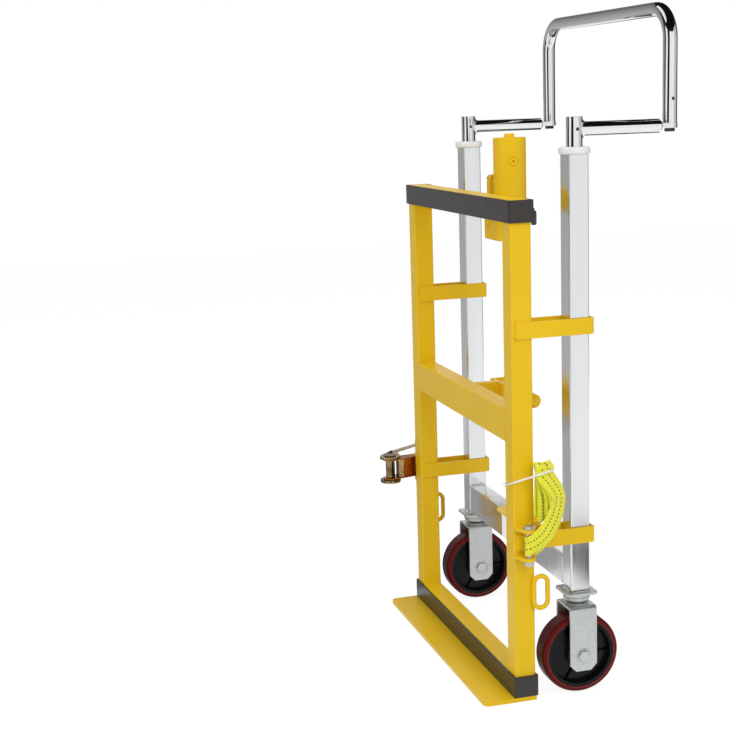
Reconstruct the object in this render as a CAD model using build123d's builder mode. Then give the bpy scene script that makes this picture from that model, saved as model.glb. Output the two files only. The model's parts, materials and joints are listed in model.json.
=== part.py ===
from build123d import *
import math
import os

os.makedirs("parts", exist_ok=True)

# Hydraulic lift cart, in millimetres.
# X runs across, Y forward to the load, Z up. The origin is on the floor under the load face.

# Layout
half_pitch = 275.0
column_setback = 112.0

# Fits
running_fit = 0.05
press_gap = 0.02
seat_gap = 0.3

# Chrome columns, and the guides that run on them
column_size = 39.0
column_wall = 2.5
column_length = 808.0
tube_corner = 3.0
tube_corner_inner = 0.6
guide_clearance = 0.5
guide_rear_gap = 3.0
guide_thickness = 5.0
guide_height = 30.0
guide_bend = 6.0
guide_short = 7.0
lower_guide_level = 294.0
upper_guide_level = 685.0

# Load frame
frame_wall = 2.5
upright_length = 844.0
mid_rail_height = 60.0
mid_rail_level = 490.0
toe_thickness = 8.0
toe_reach = 60.0
toe_overhang = 5.0
toe_corner = 13.0

# Rubber pads and their rivets
pad_front = 4.0
pad_end = 5.0
pad_back = 4.0
pad_return = 32.0
pad_corner = 3.0
rivet_radius = 6.0
rivet_rise = 6.0
rivet_crown = 5.0
rivet_shank = 2.5
rivet_low = 6.5
rivet_spacing = 14.0
rivet_from_end = 14.0

# Crossbeam between the columns
beam_height = 60.0
beam_depth = 38.0
beam_wall = 2.5
beam_rise = 5.0

# Caster wheels
wheel_radius = 76.2
tread_thickness = 10.0
tread_width = 42.0
tread_shoulder = 8.0
rim_thickness = 6.5
rim_width = 39.0
hub_radius = 30.0
hub_length = 55.6
hub_bore = 13.0
web_at_hub = 26.0
web_at_rim = 18.0
groove_count = 3
groove_start = 0.0
groove_width = 7.0
groove_floor = 4.0
bearing_radius = 16.0
bearing_width = 10.0

# Caster forks and swivels
axle_radius = 6.0
axle_head_across = 19.0
axle_head_height = 4.5
fork_thickness = 4.5
fork_width = 54.0
fork_bend = 8.0
fork_clip = 12.0
fork_below_axle = 29.5
hub_side_gap = 0.2
crown_gap = 15.1
crown_dish_radius = 22.0
crown_dish_height = 2.0
kingpin_radius = 6.0
kingpin_head_across = 19.0
kingpin_head_height = 7.5
kingpin_nut_height = 10.0
kingpin_tail = 2.0
cup_radius = 25.0
cup_foot_radius = 12.0
cup_height = 19.0
cup_foot_height = 3.0
cup_round = 6.0
cup_groove_level = 12.0
cup_groove_height = 2.0
cup_groove_depth = 1.5
plate_size = 62.0
plate_thickness = 5.0

# Nylon bushings in the column tops, and the push handle
bushing_radius = 28.5
bushing_height = 13.0
bushing_round = 4.0
socket_depth = 65.0
socket_floor = 5.0
stub_radius = 14.0
stub_head_radius = 14.6
stub_rise = 52.5
stub_saddle = 8.5
stub_cap = 3.0
arm_radius = 12.5
arm_drop = 21.5
arm_cap = 3.0
arm_reach = 186.5
handle_wall = 2.0
flat_thickness = 9.0
flat_half_width = 14.0
flat_bend = 4.0
bow_radius = 13.0
bow_rise = 202.5
bow_bend = 55.0
bow_plug = 30.0
vent_radius = 3.0
leg_vent_rise = 43.0
handle_bolt_radius = 5.0
handle_bolt_across = 16.0
handle_bolt_head = 6.4
handle_bolt_depth = 24.0

# Ram under the load frame
jack_offset = 2.5
foot_width = 130.0
foot_depth = 60.0
foot_thickness = 6.0
foot_clip = 12.0
foot_ear_x = -30.0
foot_ear_thickness = 6.0
foot_ear_depth = 18.0
foot_ear_height = 28.0
foot_bolt_spacing = 76.0
foot_bolt_radius = 4.0
foot_bolt_across = 13.0
foot_bolt_head = 5.3
foot_bolt_tail = 8.0
rod_radius = 11.0
rod_showing = 36.0
gland_radius = 20.0
gland_height = 28.0
gland_groove = 2.0
piston_length = 20.0
piston_stop_gap = 16.0
bore_radius = 12.5
bore_end_wall = 8.0
cylinder_radius = 18.0
tube_radius = 15.0
tube_rise = 258.0
collar_radius = 20.0
collar_height = 28.0
collar_groove_radius = 17.0
collar_groove_height = 5.0

# Clamp block and bracket that hang the ram on the middle rail
clamp_drop = 4.0
clamp_half = 20.0
clamp_wide_half = 26.0
clamp_wide_front = 39.0
clamp_wide_height = 42.0
clamp_low_height = 38.0
ear_radius = 14.0
ear_reach = 30.0
ear_half = 12.0
ear_slot = 2.0
ear_bolt_radius = 5.0
bracket_plate = 8.0
bracket_web = 16.0
bracket_lift = 10.0
bracket_lap = 32.0
bracket_bolt_radius = 5.0
bracket_bolt_across = 17.0
bracket_bolt_head = 6.4
bracket_bolt_from_front = 9.5

# Hand pump on top of the ram
block_left = 25.0
block_right = 66.0
block_back = 7.0
block_depth = 54.0
block_height = 58.0
block_corner = 5.0
block_front_corner = 16.0
block_foot = 4.0
reservoir_radius = 32.0
reservoir_height = 142.0
reservoir_wall = 3.0
reservoir_forward = 12.4
reservoir_round = 1.5
port_radius = 4.0
filler_radius = 5.0
filler_cap_radius = 10.0
filler_cap_height = 8.0
filler_cap_chamfer = 2.0
plug_radius = 7.5
plug_rise = 0.6
plug_recess = 2.0
plug_recess_radius = 8.5
plug_stem = 4.5
plug_socket = 2.2
plug_socket_depth = 4.0
plug_drop = 45.0
plug_turn = 8.6
block_plug_across = 17.0
block_plug_rise = 7.0
block_plug_radius = 5.0
block_plug_depth = 8.0
bleed_x = 29.0
bleed_lift = 31.0
bleed_radius = 4.0
bleed_rise = 2.5
bleed_shank = 2.5
bleed_depth = 6.0
lever_from_reservoir = 2.0
lever_width = 28.0
lever_sheet = 2.5
lever_depth = 18.0
lever_gap = 2.0
lever_drop = 253.0
lever_shoulder = 12.0
lever_apex = 24.0
lever_ear_reach = 8.5
lever_ear_round = 15.0
lever_ear_drop = 22.0
plunger_radius = 6.0
plunger_forward = 8.0
plunger_depth = 40.0
sleeve_radius = 10.0
sleeve_rise = 40.0
sleeve_hex = 22.0
sleeve_hex_height = 8.0
plunger_head_half = 7.5
plunger_head_depth = 18.0
plunger_head_over = 5.0
crank_length = 22.3
crank_angle = 20.0
crank_pin_radius = 4.0
crank_pin_rise = 13.0
pin_play = 0.7
fulcrum_radius = 5.0
fulcrum_head = 2.5
lug_half = 6.0
lug_radius = 9.0
valve_x = -15.0
valve_drop = 16.0
valve_stem_radius = 4.0
valve_stem_length = 20.0
valve_stem_depth = 12.0
valve_knob_length = 28.0
valve_knob_width = 10.0
valve_knob_depth = 8.0

# Strap rings on the uprights
ring_rod = 4.5
ring_width = 36.0
ring_height = 70.0
ring_level = 210.0
ring_lap = 3.5

# Strap tabs and bolts
tab_standoff = 23.0
tab_round = 12.0
tab_thickness = 6.0
tab_half_gap = 24.0
strap_bolt_radius = 5.0
strap_bolt_across = 17.0
strap_bolt_head = 6.4
strap_nut_height = 8.0
strap_bolt_tail = 2.0

# Ratchet on the right tab pair
ratchet_sheet = 2.5
ratchet_half_gap = 20.0
ratchet_bolt_end = 11.0
ratchet_spool_end = 16.0
ratchet_length = 78.0
ratchet_bar_radius = 3.5
ratchet_bar_at = 17.0
ratchet_plate_from = 20.0
ratchet_plate_length = 27.0
ratchet_plate_inset = 9.5
ratchet_slot_length = 3.0
ratchet_slot_half = 6.0
lock_at = 60.0
lock_width = 6.0
lock_thickness = 4.0
ratchet_turn = 12.0
spool_radius = 10.0
spool_slot = 3.2
spool_cap_radius = 13.0
spool_cap = 1.5
gear_radius = 22.5
gear_thickness = 3.5
gear_teeth = 12
tooth_depth = 3.5
tooth_width = 5.0
tooth_lean = 20.0
gear_side_gap = 0.5
handle_sheet = 2.5
handle_boss = 22.0
handle_neck_radius = 9.0
handle_neck_out = 20.0
handle_neck_back = 32.0
handle_arm_radius = 7.0
handle_end_out = 22.0
handle_end_back = 128.0
handle_turn = 20.0
handle_bar_width = 8.0
handle_bar_length = 10.0
grip_width = 18.0
grip_depth = 18.0
grip_height = 75.0
grip_corner = 5.0
pawl_thickness = 3.0
pawl_length = 14.0
pawl_offset = 15.0
pawl_overhang = 3.5
pawl_travel = 4.0

# Folded webbing on the left tab pair
web_width = 35.0
web_thickness = 1.6
web_pitch = 2.8
web_runs = 8
web_loop_gap = 0.4
web_eye_drop = 5.5
web_low_radius = 84.9
web_high_radius = 115.0
web_bend_rise = 76.5
web_fold_low = 345.0
web_fold_high = 455.0
web_past_fold = 20.0
web_check_steps = 40

# Zip tie round the webbing and the left upright
tie_width = 3.5
tie_thickness = 1.2
tie_corner = 2.5
tie_front_level = 422.0
tie_slope = 0.2
tie_tilt = 0.375
tie_over = 2.0
tie_gap = 0.6
tie_head_size = 6.0
tie_head_rise = 4.5
tie_tail = 26.0

# Places worked out from the sizes
SIDES = (("left", -1), ("right", 1))
frame_tube = column_size + 2 * guide_clearance
frame_front = -pad_front
frame_back = frame_front - frame_tube
upright_y = frame_front - frame_tube / 2
column_y = upright_y - column_setback
upright_inner = half_pitch - frame_tube / 2
upright_outer = half_pitch + frame_tube / 2
upright_z = toe_thickness + frame_tube
top_rail_z = upright_z + upright_length
mid_rail_top = mid_rail_level + mid_rail_height

crown_z = 2 * wheel_radius + crown_gap
crown_top = crown_z + fork_thickness + crown_dish_height
cup_z = crown_top + seat_gap
plate_z = cup_z + cup_height
column_z = plate_z + plate_thickness
column_top = column_z + column_length
beam_half = half_pitch - column_size / 2
beam_z = column_z + beam_rise
beam_top = beam_z + beam_height
fork_half = hub_length / 2 + hub_side_gap

bushing_top = column_top + bushing_height
stub_seat = bushing_top - socket_depth
stub_top = bushing_top + stub_rise
arm_z = stub_top - arm_drop
leg_y = column_y - arm_reach
leg_z = arm_z + flat_thickness / 2

jack_y = column_y + jack_offset
foot_top = beam_top + foot_thickness
gland_z = foot_top + rod_showing
gland_top = gland_z + gland_height
clamp_top = mid_rail_top - clamp_drop
clamp_step = clamp_top - clamp_wide_height
clamp_z = clamp_step - clamp_low_height
collar_z = clamp_top + tube_rise
bore_top = collar_z - bore_end_wall
rod_top = bore_top - piston_stop_gap - piston_length
block_z = collar_z + collar_height
block_top = block_z + block_height
block_rear = jack_y - block_back
block_front = block_rear + block_depth
reservoir_y = jack_y + reservoir_forward
reservoir_top = block_top + reservoir_height

lever_x = reservoir_radius + lever_from_reservoir + lever_width / 2
lever_front = block_rear - lever_gap
lever_back = lever_front - lever_depth
plunger_y = jack_y + plunger_forward
sleeve_top = block_top + sleeve_rise
crank_pin_z = sleeve_top + crank_pin_rise
fulcrum_y = plunger_y + crank_length * math.cos(math.radians(crank_angle))
fulcrum_z = crank_pin_z + crank_length * math.sin(math.radians(crank_angle))

strap_x = upright_outer + tab_standoff
strap_z = lower_guide_level + guide_height / 2
tab_top = strap_z + tab_half_gap + tab_thickness
tab_bottom = strap_z - tab_half_gap - tab_thickness
spool_y = upright_y + ratchet_length
gear_inner = ratchet_half_gap + ratchet_sheet + gear_side_gap
gear_outer = gear_inner + gear_thickness
handle_inner = gear_outer + gear_side_gap
handle_outer = handle_inner + handle_sheet

BOTTOM = (Align.CENTER, Align.CENTER, Align.MIN)


def save(piece, label, turns=()):
    """Turn a finished piece into its resting place, name it and write it."""
    part = piece.part
    for axis, angle in turns:
        part = part.rotate(axis, angle)
    part.label = label
    export_step(part, f"parts/{label}.step")


def upward(x, y, z):
    """Plane that looks up."""
    return Plane((x, y, z), x_dir=(1, 0, 0), z_dir=(0, 0, 1))


def downward(x, y, z):
    """Plane that looks down."""
    return Plane((x, y, z), x_dir=(1, 0, 0), z_dir=(0, 0, -1))


def sideways(x, y, z, sign=1):
    """Plane that looks along X, with Y and Z in it."""
    return Plane((x, y, z), x_dir=(0, sign, 0), z_dir=(sign, 0, 0))


def backward(x, y, z):
    """Plane that looks back along -Y, with X and Z in it."""
    return Plane((x, y, z), x_dir=(1, 0, 0), z_dir=(0, -1, 0))


def slab(x, y, z, mode=Mode.ADD):
    """Box between two limits on each axis."""
    with Locations(((x[0] + x[1]) / 2, (y[0] + y[1]) / 2, (z[0] + z[1]) / 2)):
        Box(abs(x[1] - x[0]), abs(y[1] - y[0]), abs(z[1] - z[0]), mode=mode)


def round_bar(plane, radius, length, mode=Mode.ADD):
    """Round bar that stands on a plane."""
    with Locations(plane):
        Cylinder(radius, length, align=BOTTOM, mode=mode)


def hex_bar(plane, across, length, mode=Mode.ADD):
    """Hexagonal bar that stands on a plane."""
    with BuildSketch(plane) as outline:
        RegularPolygon(across / 2, 6, major_radius=False)
    extrude(outline.sketch, amount=length, mode=mode)


def hex_nut(plane, across, bore, length):
    """Hexagonal nut that stands on a plane."""
    with BuildSketch(plane) as outline:
        RegularPolygon(across / 2, 6, major_radius=False)
        Circle(bore, mode=Mode.SUBTRACT)
    extrude(outline.sketch, amount=length)


def tube(plane, width, depth, wall, length):
    """Rectangular tube that stands on a plane."""
    with BuildSketch(plane) as outline:
        RectangleRounded(width, depth, tube_corner)
        RectangleRounded(width - 2 * wall, depth - 2 * wall, tube_corner_inner, mode=Mode.SUBTRACT)
    extrude(outline.sketch, amount=length)


# Columns with their crossbeam
for side, sign in SIDES:
    with BuildPart() as column:
        column_foot = upward(sign * half_pitch, column_y, column_z)
        tube(column_foot, column_size, column_size, column_wall, column_length)
    save(column, f"column_{side}")

foot_bolt_xs = (-foot_bolt_spacing / 2, foot_bolt_spacing / 2)

with BuildPart() as crossbeam:
    beam_end = sideways(-beam_half, column_y, beam_z + beam_height / 2)
    tube(beam_end, beam_depth, beam_height, beam_wall, 2 * beam_half)
    for x in foot_bolt_xs:
        round_bar(
            downward(x, column_y, beam_top),
            foot_bolt_radius + press_gap,
            2 * beam_wall,
            Mode.SUBTRACT,
        )
save(crossbeam, "crossbeam")

# Swivels under the columns
with BuildPart() as caster_plates:
    for side, sign in SIDES:
        plate_x = sign * half_pitch
        slab(
            (plate_x - plate_size / 2, plate_x + plate_size / 2),
            (column_y - plate_size / 2, column_y + plate_size / 2),
            (plate_z, column_z),
        )
        round_bar(
            upward(plate_x, column_y, plate_z),
            kingpin_radius + press_gap,
            plate_thickness,
            Mode.SUBTRACT,
        )
    chamfer(caster_plates.edges().filter_by(Axis.Z).filter_by(GeomType.LINE), plate_thickness)
save(caster_plates, "caster_plates")

with BuildPart() as swivel_cups:
    for side, sign in SIDES:
        cup_x = sign * half_pitch
        with BuildSketch(backward(cup_x, column_y, cup_z)):
            with BuildLine():
                Polyline(
                    (kingpin_radius + press_gap, 0),
                    (cup_foot_radius, 0),
                    (cup_foot_radius, cup_foot_height),
                    (cup_radius - cup_round, cup_foot_height),
                )
                RadiusArc(
                    (cup_radius - cup_round, cup_foot_height),
                    (cup_radius, cup_foot_height + cup_round),
                    -cup_round,
                )
                Polyline(
                    (cup_radius, cup_foot_height + cup_round),
                    (cup_radius, cup_groove_level),
                    (cup_radius - cup_groove_depth, cup_groove_level),
                    (cup_radius - cup_groove_depth, cup_groove_level + cup_groove_height),
                    (cup_radius, cup_groove_level + cup_groove_height),
                    (cup_radius, cup_height),
                    (kingpin_radius + press_gap, cup_height),
                    (kingpin_radius + press_gap, 0),
                )
            make_face()
        revolve(axis=Axis((cup_x, column_y, 0), (0, 0, 1)))
save(swivel_cups, "swivel_cups")

with BuildPart() as kingpins:
    for side, sign in SIDES:
        pin_x = sign * half_pitch
        nut_z = crown_z - kingpin_nut_height
        hex_bar(upward(pin_x, column_y, column_z), kingpin_head_across, kingpin_head_height)
        round_bar(downward(pin_x, column_y, column_z), kingpin_radius, column_z - nut_z + kingpin_tail)
        hex_nut(
            upward(pin_x, column_y, nut_z),
            kingpin_head_across,
            kingpin_radius + press_gap,
            kingpin_nut_height,
        )
save(kingpins, "kingpins")

# Forks, axles and wheels
for side, sign in SIDES:
    caster_x = sign * half_pitch
    fork_front = backward(caster_x, column_y + fork_width / 2, 0)
    fork_bottom = wheel_radius - fork_below_axle
    fork_top = crown_z + fork_thickness
    fork_outer = fork_half + fork_thickness

    with BuildPart() as fork:
        with BuildSketch(fork_front) as fork_outside:
            with Locations((0, (fork_bottom + fork_top) / 2)):
                Rectangle(2 * fork_outer, fork_top - fork_bottom)
            fillet(fork_outside.vertices().group_by(Axis.Y)[-1], fork_bend)
        extrude(amount=fork_width)
        with BuildSketch(fork_front) as fork_inside:
            with Locations((0, (fork_bottom + crown_z) / 2)):
                Rectangle(2 * fork_half, crown_z - fork_bottom)
            fillet(fork_inside.vertices().group_by(Axis.Y)[-1], fork_bend - fork_thickness)
        extrude(amount=fork_width, mode=Mode.SUBTRACT)
        chamfer(fork.edges().filter_by(Axis.X).group_by(Axis.Z)[0], fork_clip)
        round_bar(upward(caster_x, column_y, fork_top), crown_dish_radius, crown_dish_height)
        round_bar(
            upward(caster_x, column_y, crown_z),
            kingpin_radius + running_fit,
            fork_thickness + crown_dish_height,
            Mode.SUBTRACT,
        )
        round_bar(
            sideways(caster_x - fork_outer, column_y, wheel_radius),
            axle_radius + press_gap,
            2 * fork_outer,
            Mode.SUBTRACT,
        )
    save(fork, f"fork_{side}")

    with BuildPart() as axle:
        head_x = caster_x + sign * fork_outer
        nut_x = caster_x - sign * fork_outer
        hex_bar(sideways(head_x, column_y, wheel_radius, sign), axle_head_across, axle_head_height)
        round_bar(
            sideways(head_x, column_y, wheel_radius, -sign),
            axle_radius,
            2 * fork_outer + axle_head_height,
        )
        hex_nut(
            sideways(nut_x, column_y, wheel_radius, -sign),
            axle_head_across,
            axle_radius + press_gap,
            axle_head_height,
        )
    save(axle, f"axle_{side}")

    wheel_plane = backward(caster_x, column_y, wheel_radius)
    wheel_axis = Axis((caster_x, column_y, wheel_radius), (1, 0, 0))
    rim_radius = wheel_radius - tread_thickness
    rim_inner = rim_radius - rim_thickness

    with BuildPart() as wheel_core:
        with BuildSketch(wheel_plane):
            with BuildLine():
                half_profile = Polyline(
                    (0, hub_bore),
                    (hub_length / 2 - bearing_width, hub_bore),
                    (hub_length / 2 - bearing_width, bearing_radius + press_gap),
                    (hub_length / 2, bearing_radius + press_gap),
                    (hub_length / 2, hub_radius),
                    (web_at_hub / 2, hub_radius),
                    (web_at_rim / 2, rim_inner),
                    (rim_width / 2, rim_inner),
                    (rim_width / 2, rim_radius),
                    (0, rim_radius),
                )
                mirror(half_profile, about=Plane.YZ)
            make_face()
        revolve(axis=wheel_axis)
        for face in (-1, 1):
            with BuildSketch(sideways(caster_x + face * groove_floor, column_y, wheel_radius, face)):
                with PolarLocations((hub_radius + rim_inner) / 2, groove_count, start_angle=groove_start):
                    Rectangle(rim_inner - hub_radius, groove_width)
            extrude(amount=web_at_hub / 2 - groove_floor, mode=Mode.SUBTRACT)
    save(wheel_core, f"wheel_core_{side}")

    with BuildPart() as tread:
        with BuildSketch(wheel_plane) as tread_profile:
            with Locations((0, rim_radius + press_gap)):
                Rectangle(tread_width, tread_thickness - press_gap, align=(Align.CENTER, Align.MIN))
            fillet(tread_profile.vertices().group_by(Axis.Y)[-1], tread_shoulder)
        revolve(axis=wheel_axis)
    save(tread, f"tread_{side}")

    with BuildPart() as wheel_bearings:
        for face in (-1, 1):
            bearing_plane = sideways(caster_x + face * hub_length / 2, column_y, wheel_radius, -face)
            round_bar(bearing_plane, bearing_radius, bearing_width)
            round_bar(bearing_plane, axle_radius + running_fit, bearing_width, Mode.SUBTRACT)
    save(wheel_bearings, f"wheel_bearings_{side}")

# Nylon bushings in the column tops
socket_radius = stub_radius + running_fit
spigot_size = column_size - 2 * column_wall - 2 * press_gap

with BuildPart() as column_bushings:
    for side, sign in SIDES:
        bushing_x = sign * half_pitch
        round_bar(upward(bushing_x, column_y, column_top), bushing_radius, bushing_height)
        with BuildSketch(downward(bushing_x, column_y, column_top)):
            RectangleRounded(spigot_size, spigot_size, tube_corner)
        extrude(amount=socket_depth + socket_floor - bushing_height)
        round_bar(downward(bushing_x, column_y, bushing_top), socket_radius, socket_depth, Mode.SUBTRACT)
    flange_edges = column_bushings.edges().filter_by(GeomType.CIRCLE)
    fillet(flange_edges.filter_by(lambda edge: abs(edge.radius - bushing_radius) < press_gap), bushing_round)
save(column_bushings, "column_bushings")

# Ram foot, rod and piston, carried by the crossbeam
with BuildPart() as jack_foot:
    with BuildSketch(upward(0, jack_y, beam_top)) as foot_outline:
        Rectangle(foot_width, foot_depth)
        chamfer(foot_outline.vertices(), foot_clip)
    extrude(amount=foot_thickness)
    foot_back = jack_y - foot_depth / 2
    slab(
        (foot_ear_x - foot_ear_thickness / 2, foot_ear_x + foot_ear_thickness / 2),
        (foot_back, foot_back + foot_ear_depth),
        (foot_top, foot_top + foot_ear_height),
    )
    for x in foot_bolt_xs:
        round_bar(upward(x, column_y, beam_top), foot_bolt_radius + press_gap, foot_thickness, Mode.SUBTRACT)
save(jack_foot, "jack_foot")

with BuildPart() as foot_bolts:
    for x in foot_bolt_xs:
        hex_bar(upward(x, column_y, foot_top), foot_bolt_across, foot_bolt_head)
        round_bar(downward(x, column_y, foot_top), foot_bolt_radius, foot_thickness + foot_bolt_tail)
save(foot_bolts, "foot_bolts")

with BuildPart() as ram_rod:
    round_bar(upward(0, jack_y, foot_top), rod_radius, rod_top - foot_top)
save(ram_rod, "ram_rod")

with BuildPart() as ram_piston:
    round_bar(upward(0, jack_y, rod_top), bore_radius - running_fit, piston_length)
save(ram_piston, "ram_piston")

# Load frame of square tube
for side, sign in SIDES:
    with BuildPart() as upright:
        upright_foot = upward(sign * half_pitch, upright_y, upright_z)
        tube(upright_foot, frame_tube, frame_tube, frame_wall, upright_length)
    save(upright, f"upright_{side}")

rivet_zs = (top_rail_z + rivet_low, top_rail_z + rivet_low + rivet_spacing)
rivet_x = upright_outer + pad_end - rivet_from_end
rivet_places = [(sign * rivet_x, z) for sign in (-1, 1) for z in rivet_zs]
pad_rear = frame_back - pad_back

with BuildPart() as top_rail:
    tube(
        sideways(-upright_outer, upright_y, top_rail_z + frame_tube / 2),
        frame_tube,
        frame_tube,
        frame_wall,
        2 * upright_outer,
    )
    for x, z in rivet_places:
        round_bar(
            backward(x, frame_back + 2 * frame_wall, z),
            rivet_shank + press_gap,
            2 * frame_wall,
            Mode.SUBTRACT,
        )
save(top_rail, "top_rail")

with BuildPart() as mid_rail:
    tube(
        sideways(-upright_inner, upright_y, mid_rail_level + mid_rail_height / 2),
        frame_tube,
        mid_rail_height,
        frame_wall,
        2 * upright_inner,
    )
save(mid_rail, "mid_rail")

with BuildPart() as bottom_rail:
    tube(
        sideways(-upright_outer, upright_y, toe_thickness + frame_tube / 2),
        frame_tube,
        frame_tube,
        frame_wall,
        2 * upright_outer,
    )
save(bottom_rail, "bottom_rail")

with BuildPart() as toe_plate:
    toe_half = upright_outer + toe_overhang
    with BuildSketch(upward(0, frame_back, 0)) as toe_outline:
        Rectangle(2 * toe_half, toe_reach - frame_back, align=(Align.CENTER, Align.MIN))
        fillet(toe_outline.vertices().group_by(Axis.Y)[-1], toe_corner)
    extrude(amount=toe_thickness)
save(toe_plate, "toe_plate")

# Rubber pads on the front of the two end rails, wrapped round their ends
pad_half = upright_outer + pad_end

with BuildPart() as top_pad:
    with BuildSketch(upward(0, 0, top_rail_z)) as top_pad_outline:
        Rectangle(2 * pad_half, -pad_rear, align=(Align.CENTER, Align.MAX))
        fillet(top_pad_outline.vertices(), pad_corner)
    extrude(amount=frame_tube)
    slab(
        (-upright_outer, upright_outer),
        (frame_back, frame_front),
        (top_rail_z, top_rail_z + frame_tube),
        Mode.SUBTRACT,
    )
    slab(
        (pad_return - pad_half, pad_half - pad_return),
        (pad_rear, frame_back),
        (top_rail_z, top_rail_z + frame_tube),
        Mode.SUBTRACT,
    )
    for x, z in rivet_places:
        round_bar(backward(x, frame_back, z), rivet_shank + press_gap, pad_back, Mode.SUBTRACT)
save(top_pad, "top_pad")

with BuildPart() as bottom_pad:
    with BuildSketch(upward(0, 0, toe_thickness)) as bottom_pad_outline:
        Rectangle(2 * pad_half, -pad_rear, align=(Align.CENTER, Align.MAX))
        fillet(bottom_pad_outline.vertices(), pad_corner)
    extrude(amount=frame_tube)
    slab(
        (-upright_outer, upright_outer),
        (frame_back, frame_front),
        (toe_thickness, upright_z),
        Mode.SUBTRACT,
    )
    slab(
        (pad_return - pad_half, pad_half - pad_return),
        (pad_rear, frame_back),
        (toe_thickness, upright_z),
        Mode.SUBTRACT,
    )
save(bottom_pad, "bottom_pad")

with BuildPart() as pad_rivets:
    for x, z in rivet_places:
        round_bar(backward(x, pad_rear, z), rivet_radius, rivet_rise)
        round_bar(backward(x, frame_back + 2 * frame_wall, z), rivet_shank, 2 * frame_wall + pad_back)
    head_edges = pad_rivets.edges().filter_by(GeomType.CIRCLE).group_by(Axis.Y)[0]
    fillet(head_edges, rivet_crown)
save(pad_rivets, "pad_rivets")

# Guides welded to the uprights, each wrapped round a column
guide_back = column_y - column_size / 2 - guide_rear_gap - guide_thickness
guide_front = frame_front - guide_short

for side, sign in SIDES:
    with BuildPart() as guides:
        for level in (lower_guide_level, upper_guide_level):
            with BuildSketch(upward(sign * half_pitch, guide_back, level)) as guide_outside:
                Rectangle(
                    frame_tube + 2 * guide_thickness,
                    guide_front - guide_back,
                    align=(Align.CENTER, Align.MIN),
                )
                fillet(guide_outside.vertices().group_by(Axis.Y)[0], guide_bend)
            extrude(amount=guide_height)
            with BuildSketch(upward(sign * half_pitch, guide_back + guide_thickness, level)) as guide_inside:
                Rectangle(
                    frame_tube,
                    guide_front - guide_back - guide_thickness,
                    align=(Align.CENTER, Align.MIN),
                )
                fillet(guide_inside.vertices().group_by(Axis.Y)[0], guide_bend - guide_thickness)
            extrude(amount=guide_height, mode=Mode.SUBTRACT)
    save(guides, f"guides_{side}")

# Strap rings of round rod, welded on the outer faces of the uprights
with BuildPart() as strap_rings:
    ring_bend = ring_width / 2 - ring_rod
    ring_half_straight = (ring_height - ring_width) / 2
    limb_y = frame_back + ring_lap
    for side, sign in SIDES:
        ring_x = sign * (upright_outer + ring_rod)
        with BuildLine(sideways(ring_x, limb_y - ring_bend, ring_level)) as ring_path:
            front_limb = Line((ring_bend, -ring_half_straight), (ring_bend, ring_half_straight))
            upper_turn = JernArc(front_limb @ 1, front_limb % 1, ring_bend, 180)
            back_limb = Line(upper_turn @ 1, (-ring_bend, -ring_half_straight))
            JernArc(back_limb @ 1, back_limb % 1, ring_bend, 180)
        with BuildSketch(upward(ring_x, limb_y, ring_level - ring_half_straight)):
            Circle(ring_rod)
        sweep(path=ring_path.wire())
        slab(
            (sign * upright_outer, ring_x),
            (limb_y - ring_lap, limb_y + ring_lap),
            (ring_level - ring_half_straight, ring_level + ring_half_straight),
        )
save(strap_rings, "strap_rings")

# Strap tabs and their bolts
with BuildPart() as strap_tabs:
    for side, sign in SIDES:
        for tab_z in (tab_bottom, tab_top - tab_thickness):
            with BuildSketch(upward(sign * strap_x, upright_y, tab_z)):
                Circle(tab_round)
                with Locations((-sign * (tab_standoff - tab_thickness / 2), 0)):
                    Rectangle(tab_thickness, frame_tube)
                make_hull()
                Circle(strap_bolt_radius + running_fit, mode=Mode.SUBTRACT)
            extrude(amount=tab_thickness)
save(strap_tabs, "strap_tabs")

with BuildPart() as strap_bolts:
    for side, sign in SIDES:
        bolt_x = sign * strap_x
        hex_bar(upward(bolt_x, upright_y, tab_top), strap_bolt_across, strap_bolt_head)
        round_bar(
            downward(bolt_x, upright_y, tab_top),
            strap_bolt_radius,
            tab_top - tab_bottom + strap_nut_height + strap_bolt_tail,
        )
        hex_nut(
            downward(bolt_x, upright_y, tab_bottom),
            strap_bolt_across,
            strap_bolt_radius + press_gap,
            strap_nut_height,
        )
save(strap_bolts, "strap_bolts")

# Ram cylinder and gland
with BuildPart() as ram_cylinder:
    round_bar(upward(0, jack_y, gland_top), cylinder_radius, clamp_top - gland_top)
    round_bar(upward(0, jack_y, clamp_top), tube_radius, collar_z - clamp_top)
    round_bar(upward(0, jack_y, collar_z), collar_radius, collar_height)
    groove_z = collar_z + (collar_height - collar_groove_height) / 2
    with BuildSketch(upward(0, jack_y, groove_z)):
        Circle(collar_radius)
        Circle(collar_groove_radius, mode=Mode.SUBTRACT)
    extrude(amount=collar_groove_height, mode=Mode.SUBTRACT)
    round_bar(upward(0, jack_y, gland_top), bore_radius, bore_top - gland_top, Mode.SUBTRACT)
save(ram_cylinder, "ram_cylinder")

with BuildPart() as gland_nut:
    round_bar(upward(0, jack_y, gland_z), gland_radius, gland_height)
    with BuildSketch(upward(0, jack_y, gland_z + gland_height / 2)):
        Circle(gland_radius)
        Circle(gland_radius - gland_groove, mode=Mode.SUBTRACT)
    extrude(amount=gland_groove, mode=Mode.SUBTRACT)
    round_bar(upward(0, jack_y, gland_z), rod_radius + running_fit, gland_height, Mode.SUBTRACT)
save(gland_nut, "gland_nut")

# Clamp block round the cylinder, and the bracket that joins it to the middle rail
wide_front = jack_y + clamp_wide_front
ear_y = jack_y - ear_reach
ear_z = clamp_step
bracket_bolt_y = wide_front - bracket_bolt_from_front
bracket_bolt_z = clamp_step + clamp_wide_height / 2
cheek_outer = clamp_wide_half + bracket_plate

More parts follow.
